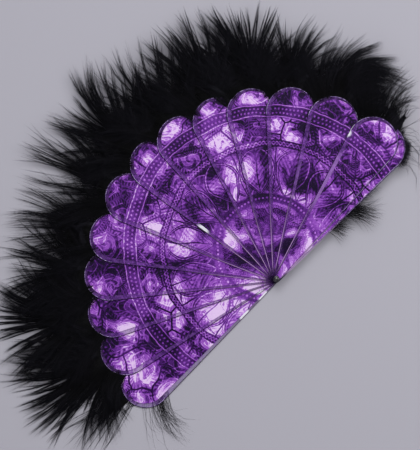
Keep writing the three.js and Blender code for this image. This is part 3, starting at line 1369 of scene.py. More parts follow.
@dataclass
class Blades:
    """The printed cards and their clear films.

    A film thins towards its outline in steps: over the card, on the weld, at the rim and at the cut
    edge. The card lies a little askew in it. The steps are narrower at the narrow end.
    """

    seats: list[Seat]
    reach: float = 144.4 * MM
    tip_radius: float = 19.2 * MM
    end_radius: float = 2.6 * MM
    card_thickness: float = 0.25 * MM
    film_thickness: float = 0.1 * MM
    slack: float = 0.05 * MM
    margin: float = 2.4 * MM
    end_margin: float = 1.2 * MM
    card_turn: float = -math.radians(0.6)
    card_bevel: float = 0.05 * MM
    hole_radius: float = 0.9 * MM
    edge_thickness: float = 0.15 * MM
    edge_width: float = 0.45 * MM
    rim_thickness: float = 0.33 * MM
    rim_width: float = 0.75 * MM
    weld_thickness: float = 0.44 * MM
    end_share: float = 0.6
    tip_sides: int = 128
    end_sides: int = 32
    flat_angle: float = math.radians(0.02)
    smooth_degrees: float = 20.0

    @property
    def thickness(self) -> float:
        """Thickness of a blade over its card."""
        return self.card_thickness + 2 * (self.slack + self.film_thickness)

    def petal(self, name: str, layers: Sequence[Layer]) -> bpy.types.Object:
        """The hull of flat slabs in the blade's outline, along +X from the pivot.

        Args:
            name: the object's name.
            layers: the slabs, of which each is a round tip and a round end.

        Returns:
            The object.
        """
        middle = self.reach - self.tip_radius
        parts = []
        for layer in layers:
            tip, end = self.tip_radius - layer.tip_inset, self.end_radius - layer.end_inset
            place = (middle * math.cos(layer.turn), middle * math.sin(layer.turn))
            slab = (layer.bottom, layer.thickness)
            parts.append(cylinder(name, tip, *slab, self.tip_sides, place))
            parts.append(cylinder(f"{name}_end", end, *slab, self.end_sides))
        choose(*parts)
        bpy.ops.object.join()
        petal = parts[0]
        shape_whole(petal, bpy.ops.mesh.convex_hull)
        shape_whole(petal, bpy.ops.mesh.dissolve_limited, angle_limit=self.flat_angle)
        shape_whole(petal, bpy.ops.mesh.normals_make_consistent, inside=False)
        return petal

    def drilled(self, piece: bpy.types.Object) -> bpy.types.Object:
        """Drills the rivet's hole.

        Args:
            piece: a card or film along +X.

        Returns:
            The same piece.
        """
        tool = cylinder(
            "rivet_hole", self.hole_radius, -self.thickness, 3 * self.thickness, self.end_sides
        )
        combine(piece, tool, Solids.CUT)
        return piece

    def card(self) -> bpy.types.Object:
        """One printed card, with softened edges.

        Returns:
            The card along +X, with its blade's back at height 0.
        """
        bottom = self.film_thickness + self.slack
        layer = Layer(self.margin, self.end_margin, bottom, self.card_thickness, self.card_turn)
        card = self.petal("card", [layer])
        apply_modifier(card, "BEVEL", width=self.card_bevel, segments=2, limit_method="ANGLE")
        return self.drilled(card)

    def film(self) -> bpy.types.Object:
        """One film: two sheets over the card, drawn together to a welded margin and a thin edge.

        Returns:
            The film along +X, with its back at height 0.
        """
        middle = self.thickness / 2
        steps = (
            (0, self.edge_thickness),
            (self.edge_width, self.rim_thickness),
            (self.rim_width, self.weld_thickness),
        )
        layers = [
            Layer(inset, inset * self.end_share, middle - thickness / 2, thickness)
            for inset, thickness in steps
        ]
        layers.append(Layer(self.margin, self.end_margin, 0, self.thickness, self.card_turn))
        film = self.petal("film", layers)
        tip, end = self.margin - self.slack, self.end_margin - self.slack
        height = self.thickness - 2 * self.film_thickness
        inside = Layer(tip, end, self.film_thickness, height, self.card_turn)
        combine(film, self.petal("pocket", [inside]), Solids.CUT)
        return self.drilled(film)

    def outside(self, along: Any, across: Any) -> Any:
        """How far points lie outside a blade's outline.

        Args:
            along: their places along the blade, as a number or an array.
            across: their places across it, from its middle.

        Returns:
            The distances, below zero inside the outline.
        """
        length = self.reach - self.tip_radius
        slope = (self.end_radius - self.tip_radius) / length
        upright = math.sqrt(1 - slope * slope)
        across = np.abs(across)
        share = -slope * across + upright * along
        side = across * upright + along * slope - self.end_radius
        tip = np.hypot(along - length, across) - self.tip_radius
        end = np.hypot(along, across) - self.end_radius
        return np.where(share < 0, end, np.where(share > upright * length, tip, side))

    def card_part(self, face: bpy.types.MeshPolygon) -> CardPart:
        """Which part of a card a face is."""
        return CardPart.PRINT if face.normal.z > 0.9 else CardPart.PAPER

    def film_part(self, face: bpy.types.MeshPolygon) -> FilmPart:
        """Which part of a film a face is, by the film's thickness there.

        Args:
            face: a face of the film, in its own place along +X.

        Returns:
            The part.
        """
        upright = abs(face.normal.z)
        if upright > 0.9999:
            return FilmPart.CLEAR
        if upright < 0.5:
            outermost = self.outside(face.center.x, face.center.y) > -self.edge_width
            return FilmPart.EDGE if outermost else FilmPart.CLEAR
        thickness = 2 * abs(face.center.z - self.thickness / 2)
        if thickness > self.weld_thickness:
            return FilmPart.WELD
        return FilmPart.RIM if thickness > self.rim_thickness else FilmPart.EDGE

    def dress(
        self, piece: bpy.types.Object, finishes: dict[Enum, Any], part_of: Callable[..., Enum]
    ) -> None:
        """Gives a piece its finishes, face by face.

        Args:
            piece: the card or film.
            finishes: the finish of each part.
            part_of: tells which part a face is.
        """
        parts = list(finishes)
        piece.data.materials.clear()
        for finish in finishes.values():
            piece.data.materials.append(finish.material())
        for polygon in piece.data.polygons:
            polygon.material_index = parts.index(part_of(polygon))
        smooth(piece, self.smooth_degrees)

    def build(self) -> None:
        """Makes and places every card and film."""
        card, film = self.card(), self.film()
        printed = {CardPart.PRINT: PetalPrint(), CardPart.PAPER: PaperBack()}
        self.dress(card, printed, self.card_part)
        clear = {
            FilmPart.CLEAR: ClearFilm(),
            FilmPart.WELD: WeldedFilm(),
            FilmPart.RIM: FilmRim(),
            FilmPart.EDGE: FilmEdge(),
        }
        self.dress(film, clear, self.film_part)
        for seat in self.seats:
            for piece, kind in ((card, "card"), (film, "film")):
                made = copied(piece, f"{seat.body}_{kind}_skin", seat.place())
                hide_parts(f"{seat.body}_{kind}")
                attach(made, seat.body)
            log.info("blade %s: card and film", seat.body)
        for piece in (card, film):
            bpy.data.objects.remove(piece)


# Plumes


def heading(direction: Any, length: Any) -> np.ndarray:
    """Flat vectors of a length in a direction."""
    return np.stack([length * np.cos(direction), length * np.sin(direction)], -1)


def rotated(points: np.ndarray, angle: float) -> np.ndarray:
    """Flat points turned about the pivot."""
    x, y, cos, sin = points[..., 0], points[..., 1], math.cos(angle), math.sin(angle)
    return np.stack([x * cos - y * sin, x * sin + y * cos], -1)


def curves(rings: int, *controls: np.ndarray) -> np.ndarray:
    """Flat Bezier curves.

    Args:
        rings: how many points each curve gets.
        controls: the control points of all curves, from the first one on.

    Returns:
        The points, as curves by rings by 2.
    """
    share = np.linspace(0, 1, rings)[None, :, None]
    degree = len(controls) - 1
    path = np.zeros((len(controls[0]), rings, 2))
    for order, control in enumerate(controls):
        weight = math.comb(degree, order) * share ** order * (1 - share) ** (degree - order)
        path = path + weight * control[:, None]
    return path


@dataclass
class Strands:
    """Tapered tubes round many paths at once, as one closed surface each."""

    sides: int = 3
    flatness: float = 1.0

    def tubes(self, paths: np.ndarray, widths: np.ndarray) -> tuple[np.ndarray, np.ndarray]:
        """Vertices and triangles of the tubes.

        Args:
            paths: strands by rings by 3, the last ring being the pointed end.
            widths: strands by rings less one, half the width at each ring.

        Returns:
            All vertices, and the triangles as vertex numbers.
        """
        count, rings = paths.shape[:2]
        tangent = np.gradient(paths, axis=1)
        tangent /= np.linalg.norm(tangent, axis=2, keepdims=True)
        side = np.cross(tangent, (0.0, 0.0, 1.0))
        side /= np.linalg.norm(side, axis=2, keepdims=True)
        upward = np.cross(side, tangent)
        angles = np.arange(self.sides) * math.tau / self.sides + math.pi / 2
        offset = (
            np.cos(angles)[None, None, :, None] * side[:, :-1, None, :]
            + self.flatness * np.sin(angles)[None, None, :, None] * upward[:, :-1, None, :]
        )
        around = paths[:, :-1, None, :] + offset * widths[:, :, None, None]
        vertices = np.concatenate([around.reshape(count, -1, 3), paths[:, -1:, :]], axis=1)
        pattern = np.array(self.faces(rings), int)
        shift = np.arange(count)[:, None, None] * vertices.shape[1]
        return vertices.reshape(-1, 3), (pattern[None] + shift).reshape(-1, 3)

    def faces(self, rings: int) -> list[tuple[int, int, int]]:
        """Triangles of one tube, facing out.

        Args:
            rings: how many rings it has, with its point.

        Returns:
            Vertex numbers, three for each triangle.
        """
        made = [(0, corner, corner + 1) for corner in range(1, self.sides - 1)]
        for ring in range(rings - 2):
            for corner in range(self.sides):
                near = ring * self.sides + corner
                next_near = ring * self.sides + (corner + 1) % self.sides
                far, next_far = near + self.sides, next_near + self.sides
                made += [(near, far, next_far), (near, next_far, next_near)]
        last = (rings - 2) * self.sides
        point = (rings - 1) * self.sides
        for corner in range(self.sides):
            made.append((last + corner, point, last + (corner + 1) % self.sides))
        return made


def mesh_from(
    name: str, vertices: np.ndarray, triangles: np.ndarray, uv: np.ndarray, uv_name: str
) -> bpy.types.Object:
    """A smooth object from arrays.

    Args:
        name: the object's name.
        vertices: its points.
        triangles: vertex numbers, three for each face.
        uv: a pair for each vertex.
        uv_name: the UV map's name.

    Returns:
        The object, linked to the scene.
    """
    mesh = bpy.data.meshes.new(name)
    mesh.vertices.add(len(vertices))
    mesh.vertices.foreach_set("co", vertices.astype(np.float32).ravel())
    mesh.loops.add(triangles.size)
    mesh.loops.foreach_set("vertex_index", triangles.astype(np.int32).ravel())
    mesh.polygons.add(len(triangles))
    mesh.polygons.foreach_set("loop_start", np.arange(0, triangles.size, 3, dtype=np.int32))
    mesh.polygons.foreach_set("use_smooth", np.ones(len(triangles), bool))
    layer = mesh.uv_layers.new(name=uv_name)
    layer.data.foreach_set("uv", uv[triangles.ravel()].astype(np.float32).ravel())
    mesh.update(calc_edges=True)
    mesh.validate()
    piece = bpy.data.objects.new(name, mesh)
    bpy.context.scene.collection.objects.link(piece)
    return piece


class Barb(Enum):
    """The kinds of barbs in a plume."""

    DOWN = 0
    LOCK = 1
    STRAY = 2


@dataclass(frozen=True)
class Locks:
    """The pointed locks of one plume, with a number for each in every array."""

    aim: np.ndarray
    reach: np.ndarray
    sweep: np.ndarray
    lift: np.ndarray


@dataclass
class Quill:
    """The flat, tapered quill that carries a plume's barbs."""

    root: float = 92.0 * MM
    share: float = 0.5
    width: float = 1.6 * MM
    tip_width: float = 0.3 * MM
    thickness: float = 0.22 * MM
    rings: int = 14
    sides: int = 10

    def tube(self, seat: Seat, middle: float, level: float) -> tuple[np.ndarray, np.ndarray]:
        """One quill in its place.

        Args:
            seat: its blade's place.
            middle: the distance from the pivot of the point that its barbs spread from.
            level: its height.

        Returns:
            Vertices and triangles.
        """
        along = np.linspace(self.root, middle + (seat.reach - middle) * self.share, self.rings)
        height = np.full((self.rings, 1), level)
        path = np.concatenate([heading(seat.direction, along), height], -1)[None]
        share = np.linspace(0, 1, self.rings - 1)[None]
        width = (self.width * (1 - share) + self.tip_width * share) / 2
        return Strands(self.sides, self.thickness / self.width).tubes(path, width)


@dataclass
class Wisps:
    """Thin barbs at the root of the last stick's plume: short ones in a row, and two longer tufts.

    shares, aims and lengths have a number for the row and for each tuft: how many of the wisps it
    has, their direction off the blade in radians, and their length. A tuft has its place along the
    blade and how far it scatters. root is where the wisps start across the blade, at taper_from.
    """

    count: int = 680
    shares: tuple[float, float, float] = (0.60, 0.25, 0.15)
    aims: tuple[float, float, float] = (-1.15, -1.12, -1.3)
    lengths: tuple[float, float, float] = (10 * MM, 29 * MM, 17 * MM)
    scatter: float = 0.15
    reach: tuple[float, float] = (0.5, 1.05)
    bend: tuple[float, float] = (0.05, 0.2)
    row: tuple[float, float] = (58 * MM, 98 * MM)
    tufts: tuple[tuple[float, float], ...] = ((73 * MM, 3.5 * MM), (57 * MM, 2.5 * MM))
    root: tuple[float, float] = (-11 * MM, -7 * MM)
    taper: float = 0.1
    taper_from: float = 80 * MM

    def paths(self, rings: int, rng: np.random.Generator) -> np.ndarray:
        """Flat paths of all wisps, in the blade's own place.

        Args:
            rings: how many points a path has.
            rng: the plume's random numbers.

        Returns:
            The paths.
        """
        kind = rng.choice(3, self.count, p=self.shares)
        aim = np.array(self.aims)[kind] + rng.normal(0, self.scatter, self.count)
        length = np.array(self.lengths)[kind] * rng.uniform(*self.reach, self.count)
        bend = aim + rng.normal(*self.bend, self.count)
        places = [rng.uniform(*self.row, self.count)]
        places += [rng.normal(*tuft, self.count) for tuft in self.tufts]
        along = np.stack(places)[kind, np.arange(self.count)]
        edge = self.taper * (along - self.taper_from)
        root = np.stack([along, rng.uniform(*self.root, self.count) - edge], -1)
        return curves(rings, root, root + heading(aim, length * 0.5), root + heading(bend, length))


@dataclass
class Fringe:
    """Short barbs that edge the last stick's tip on its free side."""

    count: int = 2600
    arc: tuple[float, float] = (-1.6, 0.5)
    bend: float = 0.1
    root: float = 8.0 * MM
    reach: tuple[float, float] = (1.0 * MM, 5.5 * MM)

    def paths(self, blades: Blades, rings: int, rng: np.random.Generator) -> np.ndarray:
        """Flat paths of all its barbs, in the blade's own place.

        Args:
            blades: the blades, for their outline.
            rings: how many points a path has.
            rng: the plume's random numbers.

        Returns:
            The paths.
        """
        radius = blades.tip_radius
        angle = rng.uniform(*self.arc, self.count)
        outside = radius + rng.uniform(*self.reach, self.count)
        share = np.linspace(0, 1, rings)[None]
        length = (radius - self.root) * (1 - share) + outside[:, None] * share
        bearing = angle[:, None] + rng.normal(0, self.bend, (self.count, 1)) * share
        return np.array((blades.reach - radius, 0.0)) + heading(bearing, length)


@dataclass
class Bed:
    """Where barbs may lie: in the slot below their blade, and free past the blades' edges.

    Past the edges they rise and sink, less steeply than slope. None crosses a print, and few reach
    past the fan's lower side.
    """

    seats: list[Seat]
    blades: Blades
    slot: float = 0.225 * MM
    rise: float = 7.0 * MM
    rise_bend: float = 1.5
    slope: float = 0.55
    free_from: float = 1.0 * MM
    floor: float = 0.35 * MM
    cover: float = 0.3 * MM
    clearance: float = 0.6 * MM
    bare_side: float = math.radians(4)
    bare_share: float = 0.12

    def level(self, seat: Seat) -> float:
        """The height that a blade's plume lies at, below the blade."""
        return seat.level - self.slot

    def settle(
        self, index: int, path: np.ndarray, height: np.ndarray, rng: np.random.Generator
    ) -> tuple[np.ndarray, np.ndarray]:
        """Puts flat barbs in the fan: between the blades, free past them, and never over a print.

        Args:
            index: the blade's number from the rear guard.
            path: the barbs' flat paths in the blade's own place.
            height: each barb's height share.
            rng: the plume's random numbers.

        Returns:
            The barbs in the open fan, and which of them may stay.
        """
        seat = self.seats[index]
        turned = rotated(path, seat.direction)
        gaps = []
        for other in self.seats:
            local = rotated(turned, -other.direction)
            gaps.append(self.blades.outside(local[..., 0], local[..., 1]))
        distance = np.stack(gaps)
        covered = distance[index:].min(0) < self.cover
        over_print = np.zeros(turned.shape[:2], bool)
        if index:
            over_print = (distance[:index].min(0) < self.clearance) & ~covered
        free = np.maximum(distance.min(0) - self.free_from, 0) * self.slope
        share = np.linspace(0, 1, path.shape[1])[None] ** self.rise_bend
        lift = np.clip(height[:, None] * self.rise * share, -free, free)
        z = np.maximum(self.level(seat) + lift, self.floor)
        end = turned[:, -1]
        bearing = np.arctan2(end[:, 1], end[:, 0])
        outer = np.hypot(end[:, 0], end[:, 1]) > self.blades.reach
        bare = (bearing < self.bare_side) & outer & (rng.random(len(path)) > self.bare_share)
        return np.concatenate([turned, z[..., None]], -1), ~over_print.any(1) & ~bare


@dataclass
class Plumes:
    """A plume behind each blade tip: a flat quill, soft down, pointed locks of barbs and strays.

    The barbs spread from a point near the tip in clumps, each clump in locks. Reaches are shares of
    the plume's own length in their direction. density, solid and lean have a number for each blade
    from the rear guard on: how many barbs it has, the reach of its dense part, and the radians that
    its locks lean by. The last stick also has wisps and a fringe.
    """

    seats: list[Seat]
    blades: Blades
    density: tuple[float, ...] = (
        0.08, 1.05, 1.2, 0.7, 0.24, 0.34, 0.8, 0.5, 0.75, 1, 0.5, 0.9, 0.12, 0.18,
    )
    solid: tuple[float, ...] = (
        0.08, 0.42, 0.58, 0.20, 0.02, 0.14, 0.38, 0.18, 0.42, 0.46, 0.14, 0.54, 0.05, 0.10,
    )
    lean: tuple[float, ...] = (0, 0, 0, 0, 0, 0, 0, 0, 0, 0, -0.15, -0.6, 0, -0.5)
    down: int = 2200
    locked: int = 2400
    strays: int = 560
    middle: float = 146.0 * MM
    half_width: float = 54.0 * MM
    spread: float = math.radians(82)
    guard_spread: float = math.radians(120)
    crowding: float = 1.2
    clump_angle: float = math.radians(2.6)
    clump_sweep: float = 0.07
    lock_angle: float = math.radians(0.75)
    lock_scatter: float = 0.35
    lock_shortfall: float = 0.1
    lock_sweep: float = 0.04
    longest: float = 1.08
    long_bias: float = 2.2
    wave: float = 0.16
    wave_turns: float = 2.5
    barb_drift: float = 1.3
    barb_shortfall: float = 0.07
    barb_height: float = 0.35
    loose_bend: float = 0.16
    own_bend: float = 0.004
    down_from: float = 0.1
    down_reach: float = 1.06
    stray_from: float = 0.7
    stray_reach: float = 1.13
    root_fall: float = 24.0 * MM
    root_depth: float = 16.0 * MM
    root_ahead: float = 8.0 * MM
    ahead_angle: float = 0.6
    root_spread: float = 0.6 * MM
    rings: int = 6
    root_width: float = 0.16 * MM
    end_width: float = 0.08 * MM
    kind_width: tuple[float, float, float] = (1.2, 1.0, 0.7)
    own_width: tuple[float, float] = (0.75, 1.25)
    quill_uv: float = 0.05
    seed: int = 20

    @property
    def last_stick(self) -> int:
        """The number of the blade below the front guard, counted from the rear guard."""
        return len(self.seats) - 2

    def spaced(self, right: float, left: float, count: int, rng: np.random.Generator) -> np.ndarray:
        """Angles off the quill, a little uneven and closer near the quill.

        Args:
            right: the widest angle on one side.
            left: the widest angle on the other side.
            count: how many angles.
            rng: the plume's random numbers.

        Returns:
            The angles, in rising order but for their unevenness.
        """
        share = np.linspace(-1, 1, count) + rng.uniform(-1, 1, count) / count
        share = np.sign(share) * np.abs(share) ** self.crowding
        return np.where(share < 0, share * right, share * left)

    def locks(self, index: int, right: float, left: float, rng: np.random.Generator) -> Locks:
        """The locks of one plume.

        Args:
            index: the blade's number from the rear guard.
            right: the plume's spread on one side.
            left: its spread on the other side.
            rng: the plume's random numbers.

        Returns:
            The locks.
        """
        clumps = round((right + left) / self.clump_angle)
        locks = round((right + left) / self.lock_angle)
        home = rng.integers(0, clumps, locks)
        middle = self.spaced(right, left, clumps, rng)
        aim = middle[home] + rng.normal(0, self.lock_scatter, locks) * self.clump_angle
        missing = rng.uniform(0, 1, clumps)[home] ** self.long_bias
        reach = self.longest - (self.longest - self.solid[index]) * missing
        reach = reach * (1 - np.abs(rng.normal(0, self.lock_shortfall, locks)))
        sweep = self.wave * np.sin(middle * self.wave_turns + rng.uniform(0, math.tau))
        sweep = (sweep + rng.normal(0, self.clump_sweep, clumps))[home]
        sweep = sweep + rng.normal(0, self.lock_sweep, locks) + self.lean[index]
        return Locks(aim, reach, sweep, rng.uniform(-1, 1, clumps)[home])

    def barb_paths(
        self, index: int, rng: np.random.Generator
    ) -> tuple[np.ndarray, np.ndarray, np.ndarray]:
        """Paths of a plume's barbs, flat, in the blade's own place.

        Args:
            index: the blade's number from the rear guard.
            rng: the plume's random numbers.

        Returns:
            The paths, each barb's height share from -1 to 1, and the number of its kind.
        """
        right = self.spread if index < self.last_stick else self.guard_spread
        left = self.spread if index else self.guard_spread
        locks = self.locks(index, right, left, rng)
        solid = self.solid[index]
        share = self.density[index]
        loose = min(1.0, share * 3)
        counts = np.array([self.down * loose, self.locked * share, self.strays * loose])
        kind = np.repeat([each.value for each in Barb], counts.astype(int))
        count = kind.size
        own = rng.integers(0, len(locks.aim), count)
        locked = kind == Barb.LOCK.value
        drift = rng.normal(0, 1, count) * self.lock_angle * self.barb_drift
        angle = np.where(locked, locks.aim[own], self.spaced(right, left, count, rng))
        reach = locks.reach[own] * (1 - np.abs(rng.normal(0, self.barb_shortfall, count)))
        short = rng.uniform(self.down_from, self.down_from + solid * self.down_reach, count)
        reach = np.where(kind == Barb.DOWN.value, short, reach)
        long = rng.uniform(max(solid, self.stray_from), self.stray_reach, count)
        reach = np.where(kind == Barb.STRAY.value, long, reach)
        bend = np.where(locked, locks.sweep[own], rng.normal(0, self.loose_bend, count))
        bend = bend + rng.normal(0, self.own_bend, count)

        # A barb leaves its root leaning outwards, then runs with its lock and bends at the end.
        root_x = self.middle - self.root_fall * np.abs(np.sin(angle / 2))
        root_x = root_x - rng.uniform(0, self.root_depth, count)
        root_x += np.where(np.abs(angle) < self.ahead_angle, self.root_ahead, 0)
        root = np.stack([root_x, rng.normal(0, self.root_spread, count)], -1)
        spine = self.seats[index].reach - self.middle
        whole = np.hypot(spine * np.cos(angle), self.half_width * np.sin(angle))
        start = root + heading((angle + drift) * 0.7, whole * 0.3)
        fan = np.array((self.middle, 0.0))
        near = fan + heading(angle + drift * 0.14 - bend * 0.3, whole * reach * 0.62)
        end = fan + heading(angle + drift * 0.05 + bend, whole * reach)
        path = curves(self.rings, root, start, near, end)
        height = np.clip(locks.lift[own] * 0.8 + rng.normal(0, self.barb_height, count), -1, 1)
        if index == self.last_stick:
            wisps = Wisps().paths(self.rings, rng)
            extra = np.concatenate([wisps, Fringe().paths(self.blades, self.rings, rng)])
            path, height = np.concatenate([path, extra]), np.append(height, np.zeros(len(extra)))
            kind = np.append(kind, np.full(len(extra), Barb.STRAY.value))
        return path, height, kind

    def plume(self, index: int, uv_name: str) -> bpy.types.Object:
        """One plume: its barbs and its quill.

        Args:
            index: the blade's number from the rear guard.
            uv_name: the UV map that tells the place along a barb and the barb's own tone.

        Returns:
            The plume.
        """
        seat, strands, last = self.seats[index], Strands(), self.rings - 1
        bed = Bed(self.seats, self.blades)
        rng = np.random.default_rng(self.seed + index)
        flat, height, kind = self.barb_paths(index, rng)
        paths, stays = bed.settle(index, flat, height, rng)
        thick = rng.uniform(*self.own_width, kind.size) * np.array(self.kind_width)[kind]
        share = np.linspace(0, 1, last)[None]
        widths = (self.root_width * (1 - share) + self.end_width * share) * thick[:, None]
        paths, widths = paths[stays], widths[stays]
        vertices, triangles = strands.tubes(paths, widths)
        tone = rng.uniform(0, 1, len(paths))
        ring_of = np.append(np.repeat(np.arange(last), strands.sides), last) / last
        uv = np.stack([np.tile(ring_of, len(paths)), np.repeat(tone, len(ring_of))], -1)
        shaft, shaft_faces = Quill().tube(seat, self.middle, bed.level(seat))
        uv = np.concatenate([uv, np.full((len(shaft), 2), self.quill_uv)])
        faces = np.concatenate([triangles, shaft_faces + len(vertices)])
        points = np.concatenate([vertices, shaft])
        log.info("plume of %s: %d barbs, %d triangles", seat.body, len(paths), len(faces))
        return mesh_from(f"{seat.body}_plume_barbs", points, faces, uv, uv_name)

    def build(self) -> None:
        """Makes every plume."""
        finish = BlackBarbs()
        material = finish.material()
        for index, seat in enumerate(self.seats):
            plume = self.plume(index, finish.uv_name)
            plume.data.materials.append(material)
            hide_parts(f"{seat.body}_plume")
            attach(plume, seat.body)


# Ribbon


@dataclass
class Ribbon:
    """The satin ribbon behind the blades, in one length for each joint.

    A length starts a little past its first blade's middle, at the seam, and steps up to the next
    blade's level once it is past the first blade's edge. It is a short tab where the next blade
    lies back over the first.
    """

    seats: list[Seat]
    blades: Blades
    radius: float = 78.0 * MM
    width: float = 8.0 * MM
    thickness: float = 0.16 * MM
    below: float = 0.2 * MM
    seam: float = math.radians(3.7)
    end: float = math.radians(-3.0)
    tab: float = math.radians(5.0)
    joint_gap: float = 0.3 * MM
    run: float = 1.0 * MM
    edge_gap: float = 0.4 * MM
    steps: int = 48
    cross_steps: int = 8
    smooth_degrees: float = 40.0

    @property
    def middle(self) -> float:
        """Radius of the ribbon's middle line."""
        return self.radius + self.width / 2

    def edge_angle(self) -> float:
        """Half of the angle that a blade covers at the ribbon, with room round its edge.

        Returns:
            The angle in radians.
        """
        tip, end = self.blades.tip_radius, self.blades.end_radius
        taper = math.asin((tip - end) / (self.blades.reach - tip))
        return taper + math.asin(end / self.radius) + self.edge_gap / self.radius

    def route(self, index: int) -> list[tuple[float, float]]:
        """Where one length runs.

        Args:
            index: the number of its first blade, from the rear guard.

        Returns:
            Its corners: the angle past its first blade's middle, and the height over its level.
        """
        here, there = self.seats[index], self.seats[index + 1]
        step = here.direction - there.direction
        pitch = there.level - here.level
        edge = self.edge_angle()
        gap = self.joint_gap / 2 / self.middle
        start = self.end if index == 0 else self.seam + gap
        run = self.run / self.middle
        if step > 0:
            return [(start, 0), (edge, 0), (edge + run, pitch), (step + self.seam - gap, pitch)]
        return [(step / 2 + self.tab, pitch), (step / 2 - self.tab, pitch)]

    def length_of(self, index: int) -> bpy.types.Object:
        """One length of ribbon in its place.

        Args:
            index: the number of its first blade, from the rear guard.

        Returns:
            The ribbon.
        """
        seat = self.seats[index]
        route = np.array(self.route(index))
        flat = np.stack([route[:, 0] * self.middle, route[:, 1]], -1)
        gone = np.concatenate([[0], np.cumsum(np.linalg.norm(np.diff(flat, axis=0), axis=1))])
        deselect()
        bpy.ops.mesh.primitive_grid_add(
            x_subdivisions=self.steps, y_subdivisions=self.cross_steps, size=1
        )
        piece = bpy.context.object
        piece.name = f"ribbon_{index + 1:02d}_satin"
        for vertex in piece.data.vertices:
            along = (vertex.co.x + 0.5) * gone[-1]
            angle = np.interp(along, gone, route[:, 0])
            height = np.interp(along, gone, route[:, 1])
            radius = self.middle + vertex.co.y * self.width
            vertex.co = (radius * math.cos(angle), -radius * math.sin(angle), height - self.below)
        apply_modifier(piece, "SOLIDIFY", thickness=self.thickness, offset=0, use_even_offset=True)
        piece.data.transform(seat.place())
        shape_whole(piece, bpy.ops.mesh.normals_make_consistent, inside=False)
        smooth(piece, self.smooth_degrees)
        return piece

    def on_arc(self, seat: Seat, angle: float) -> tuple[float, float, float]:
        """A point on the ribbon's middle line, at an angle past a blade's middle."""
        turn = seat.direction - angle
        return self.middle * math.cos(turn), self.middle * math.sin(turn), seat.level

    def build(self) -> None:
        """Makes every length."""
        material = BlackSatin().material()
        for index in range(len(self.seats) - 1):
            here, there = self.seats[index], self.seats[index + 1]
            piece = self.length_of(index)
            piece.data.materials.append(material)
            first, last = [place[0] for place in self.route(index)[-2:]]
            self.on_arc(here, first)
            self.on_arc(here, last)
            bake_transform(piece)
            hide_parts(f"ribbon_{index + 1:02d}")
            log.info("ribbon from %s to %s", here.body, there.body)


# Rivet


@dataclass
class Rivet:
    """The pin with its domed head, the washer under the head and the cap at the back."""

    top: float
    shaft_radius: float = 0.75 * MM
    slack: float = 0.15 * MM
    head_radius: float = 2.1 * MM
    head_height: float = 1.2 * MM
    head_rim: float = 0.3 * MM
    head_overlap: float = 0.1 * MM
    dome_rings: int = 8
    washer_radius: float = 2.4 * MM
    washer_thickness: float = 0.4 * MM
    cap_radius: float = 2.6 * MM
    cap_thickness: float = 1.0 * MM
    cap_floor: float = 0.3 * MM
    stack_slack: float = 0.1 * MM
    bore_length: float = 3.0 * MM
    sides: int = 64
    bevel: float = 0.08 * MM
    bevel_angle: float = 0.6
    smooth_degrees: float = 35.0

    def pin(self) -> bpy.types.Object:
        """The shaft and its domed head.

        Returns:
            The pin in its place.
        """
        bottom = self.top - self.head_height
        head = cylinder("pivot_pin_enamel", self.head_radius, bottom, self.head_rim, self.sides)
        open_on_top(head)
        height, radius = 0.0, 1.0
        for ring in range(1, self.dome_rings):
            angle = math.pi / 2 * ring / self.dome_rings
            rise = (self.head_height - self.head_rim) * math.sin(angle)
            move = {"value": (0, 0, rise - height)}
            bpy.ops.mesh.extrude_region_move(TRANSFORM_OT_translate=move)
            shrink = math.cos(angle) / radius
            bpy.ops.transform.resize(value=(shrink, shrink, 1), center_override=(0, 0, 0))
            height, radius = rise, math.cos(angle)
        bpy.ops.object.mode_set(mode="OBJECT")
        length = bottom - self.cap_floor + self.head_overlap
        shaft = cylinder("pin_shaft", self.shaft_radius, self.cap_floor, length, self.sides)
        combine(head, shaft, Solids.JOIN)
        return head

    def bored(self, piece: bpy.types.Object, bottom: float) -> bpy.types.Object:
        """Bores a piece for the shaft.

        Args:
            piece: the piece to bore.
            bottom: the height that the bore starts at.

        Returns:
            The same piece.
        """
        radius = self.shaft_radius + self.slack
        bore = cylinder("bore", radius, bottom, self.bore_length, self.sides)
        combine(piece, bore, Solids.CUT)
        return piece

    def washer(self) -> bpy.types.Object:
        """The flat washer under the head.

        Returns:
            The washer in its place.
        """
        bottom = self.top - self.head_height - self.stack_slack - self.washer_thickness
        size = (self.washer_radius, bottom, self.washer_thickness)
        return self.bored(cylinder("pivot_washer_enamel", *size, self.sides), bottom - MM)

    def cap(self) -> bpy.types.Object:
        """The cap that closes the rivet behind the blades."""
        cap = cylinder("pivot_cap_enamel", self.cap_radius, 0, self.cap_thickness, self.sides)
        return self.bored(cap, self.cap_floor - self.stack_slack)

    def build(self, body: str) -> None:
        """Makes the rivet, which stays with the rear guard.

        Args:
            body: the body that holds the rivet.
        """
        material = DarkEnamel().material()
        pieces = {"pivot_pin": self.pin(), "pivot_washer": self.washer(), "pivot_cap": self.cap()}
        for node, piece in pieces.items():
            bevel = {"width": self.bevel, "segments": 3, "angle_limit": self.bevel_angle}
            apply_modifier(piece, "BEVEL", limit_method="ANGLE", **bevel)
            smooth(piece, self.smooth_degrees)
            piece.data.materials.clear()
            piece.data.materials.append(material)
            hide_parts(node)
            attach(piece, body)
            log.info("rivet: %s", node)


# Studio


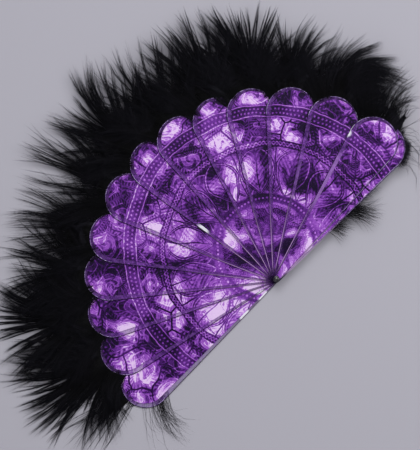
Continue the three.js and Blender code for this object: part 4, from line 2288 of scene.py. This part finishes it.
@dataclass
class Studio:
    """The floor, the soft light and the camera, straight over the open fan.

    A lamp is a name, a place, the length of its side and its power.
    """

    turn: float = math.radians(-46.8)
    aim: tuple[float, float] = (-4.5 * MM, 63.95 * MM)
    view_height: float = 337.5 * MM
    distance: float = 1.6
    print_level: float = 8.0 * MM
    floor_size: float = 8.0
    room: Colour = (0.97, 0.97, 1.0)
    room_strength: float = 0.22
    lamps: tuple[tuple[str, tuple[float, float, float], float, float], ...] = (
        ("soft_key", (0.50, 0.53, 1.48), 0.8, 14.0),
        ("soft_side", (0.95, -0.55, 1.10), 0.7, 10.0),
        ("soft_fill", (-0.85, 0.10, 1.3), 1.0, 2.5),
    )

    def camera(self) -> None:
        """The camera, turned so that the rear guard points down and left."""
        place = (*self.aim, self.print_level + self.distance)
        deselect()
        bpy.ops.object.camera_add(location=place, rotation=(0, 0, self.turn))
        camera = bpy.context.object
        camera.data.sensor_fit = "VERTICAL"
        camera.data.angle = 2 * math.atan(self.view_height / 2 / self.distance)
        bpy.context.scene.camera = camera

    def world(self) -> None:
        """Even pale surroundings."""
        world = bpy.data.worlds.new("soft_room")
        bpy.context.scene.world = world
        world.use_nodes = True
        background = world.node_tree.nodes["Background"]
        background.inputs["Color"].default_value = (*self.room, 1.0)
        background.inputs["Strength"].default_value = self.room_strength

    def floor(self) -> None:
        """The pale floor."""
        deselect()
        bpy.ops.mesh.primitive_plane_add(size=self.floor_size)
        floor = bpy.context.object
        floor.name = "floor"
        floor.data.materials.append(PlainFloor().material())

    def light(self) -> None:
        """Square soft lamps, aimed at the fan."""
        for name, place, size, power in self.lamps:
            deselect()
            bpy.ops.object.light_add(type="AREA", location=place)
            lamp = bpy.context.object
            lamp.name = name
            lamp.data.size = size
            lamp.data.energy = power
            beam = Vector((*self.aim, 0)) - Vector(place)
            lamp.rotation_euler = beam.to_track_quat("-Z", "Y").to_euler()

    def build(self) -> None:
        """Sets up everything that isn't the fan."""
        self.camera()
        self.world()
        self.floor()
        self.light()
        bpy.context.scene.view_settings.view_transform = "Standard"
        log.info("studio: camera, lights and floor")


def main() -> None:
    """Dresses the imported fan."""
    logging.basicConfig(level=logging.INFO, format="%(message)s")
    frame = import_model()
    Studio().build()
    seats = read_seats(frame)
    blades = Blades(seats)
    blades.build()
    Plumes(seats, blades).build()
    Ribbon(seats, blades).build()
    Rivet(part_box("pivot_pin")[1].z).build(seats[0].body)


if __name__ == "__main__":
    main()
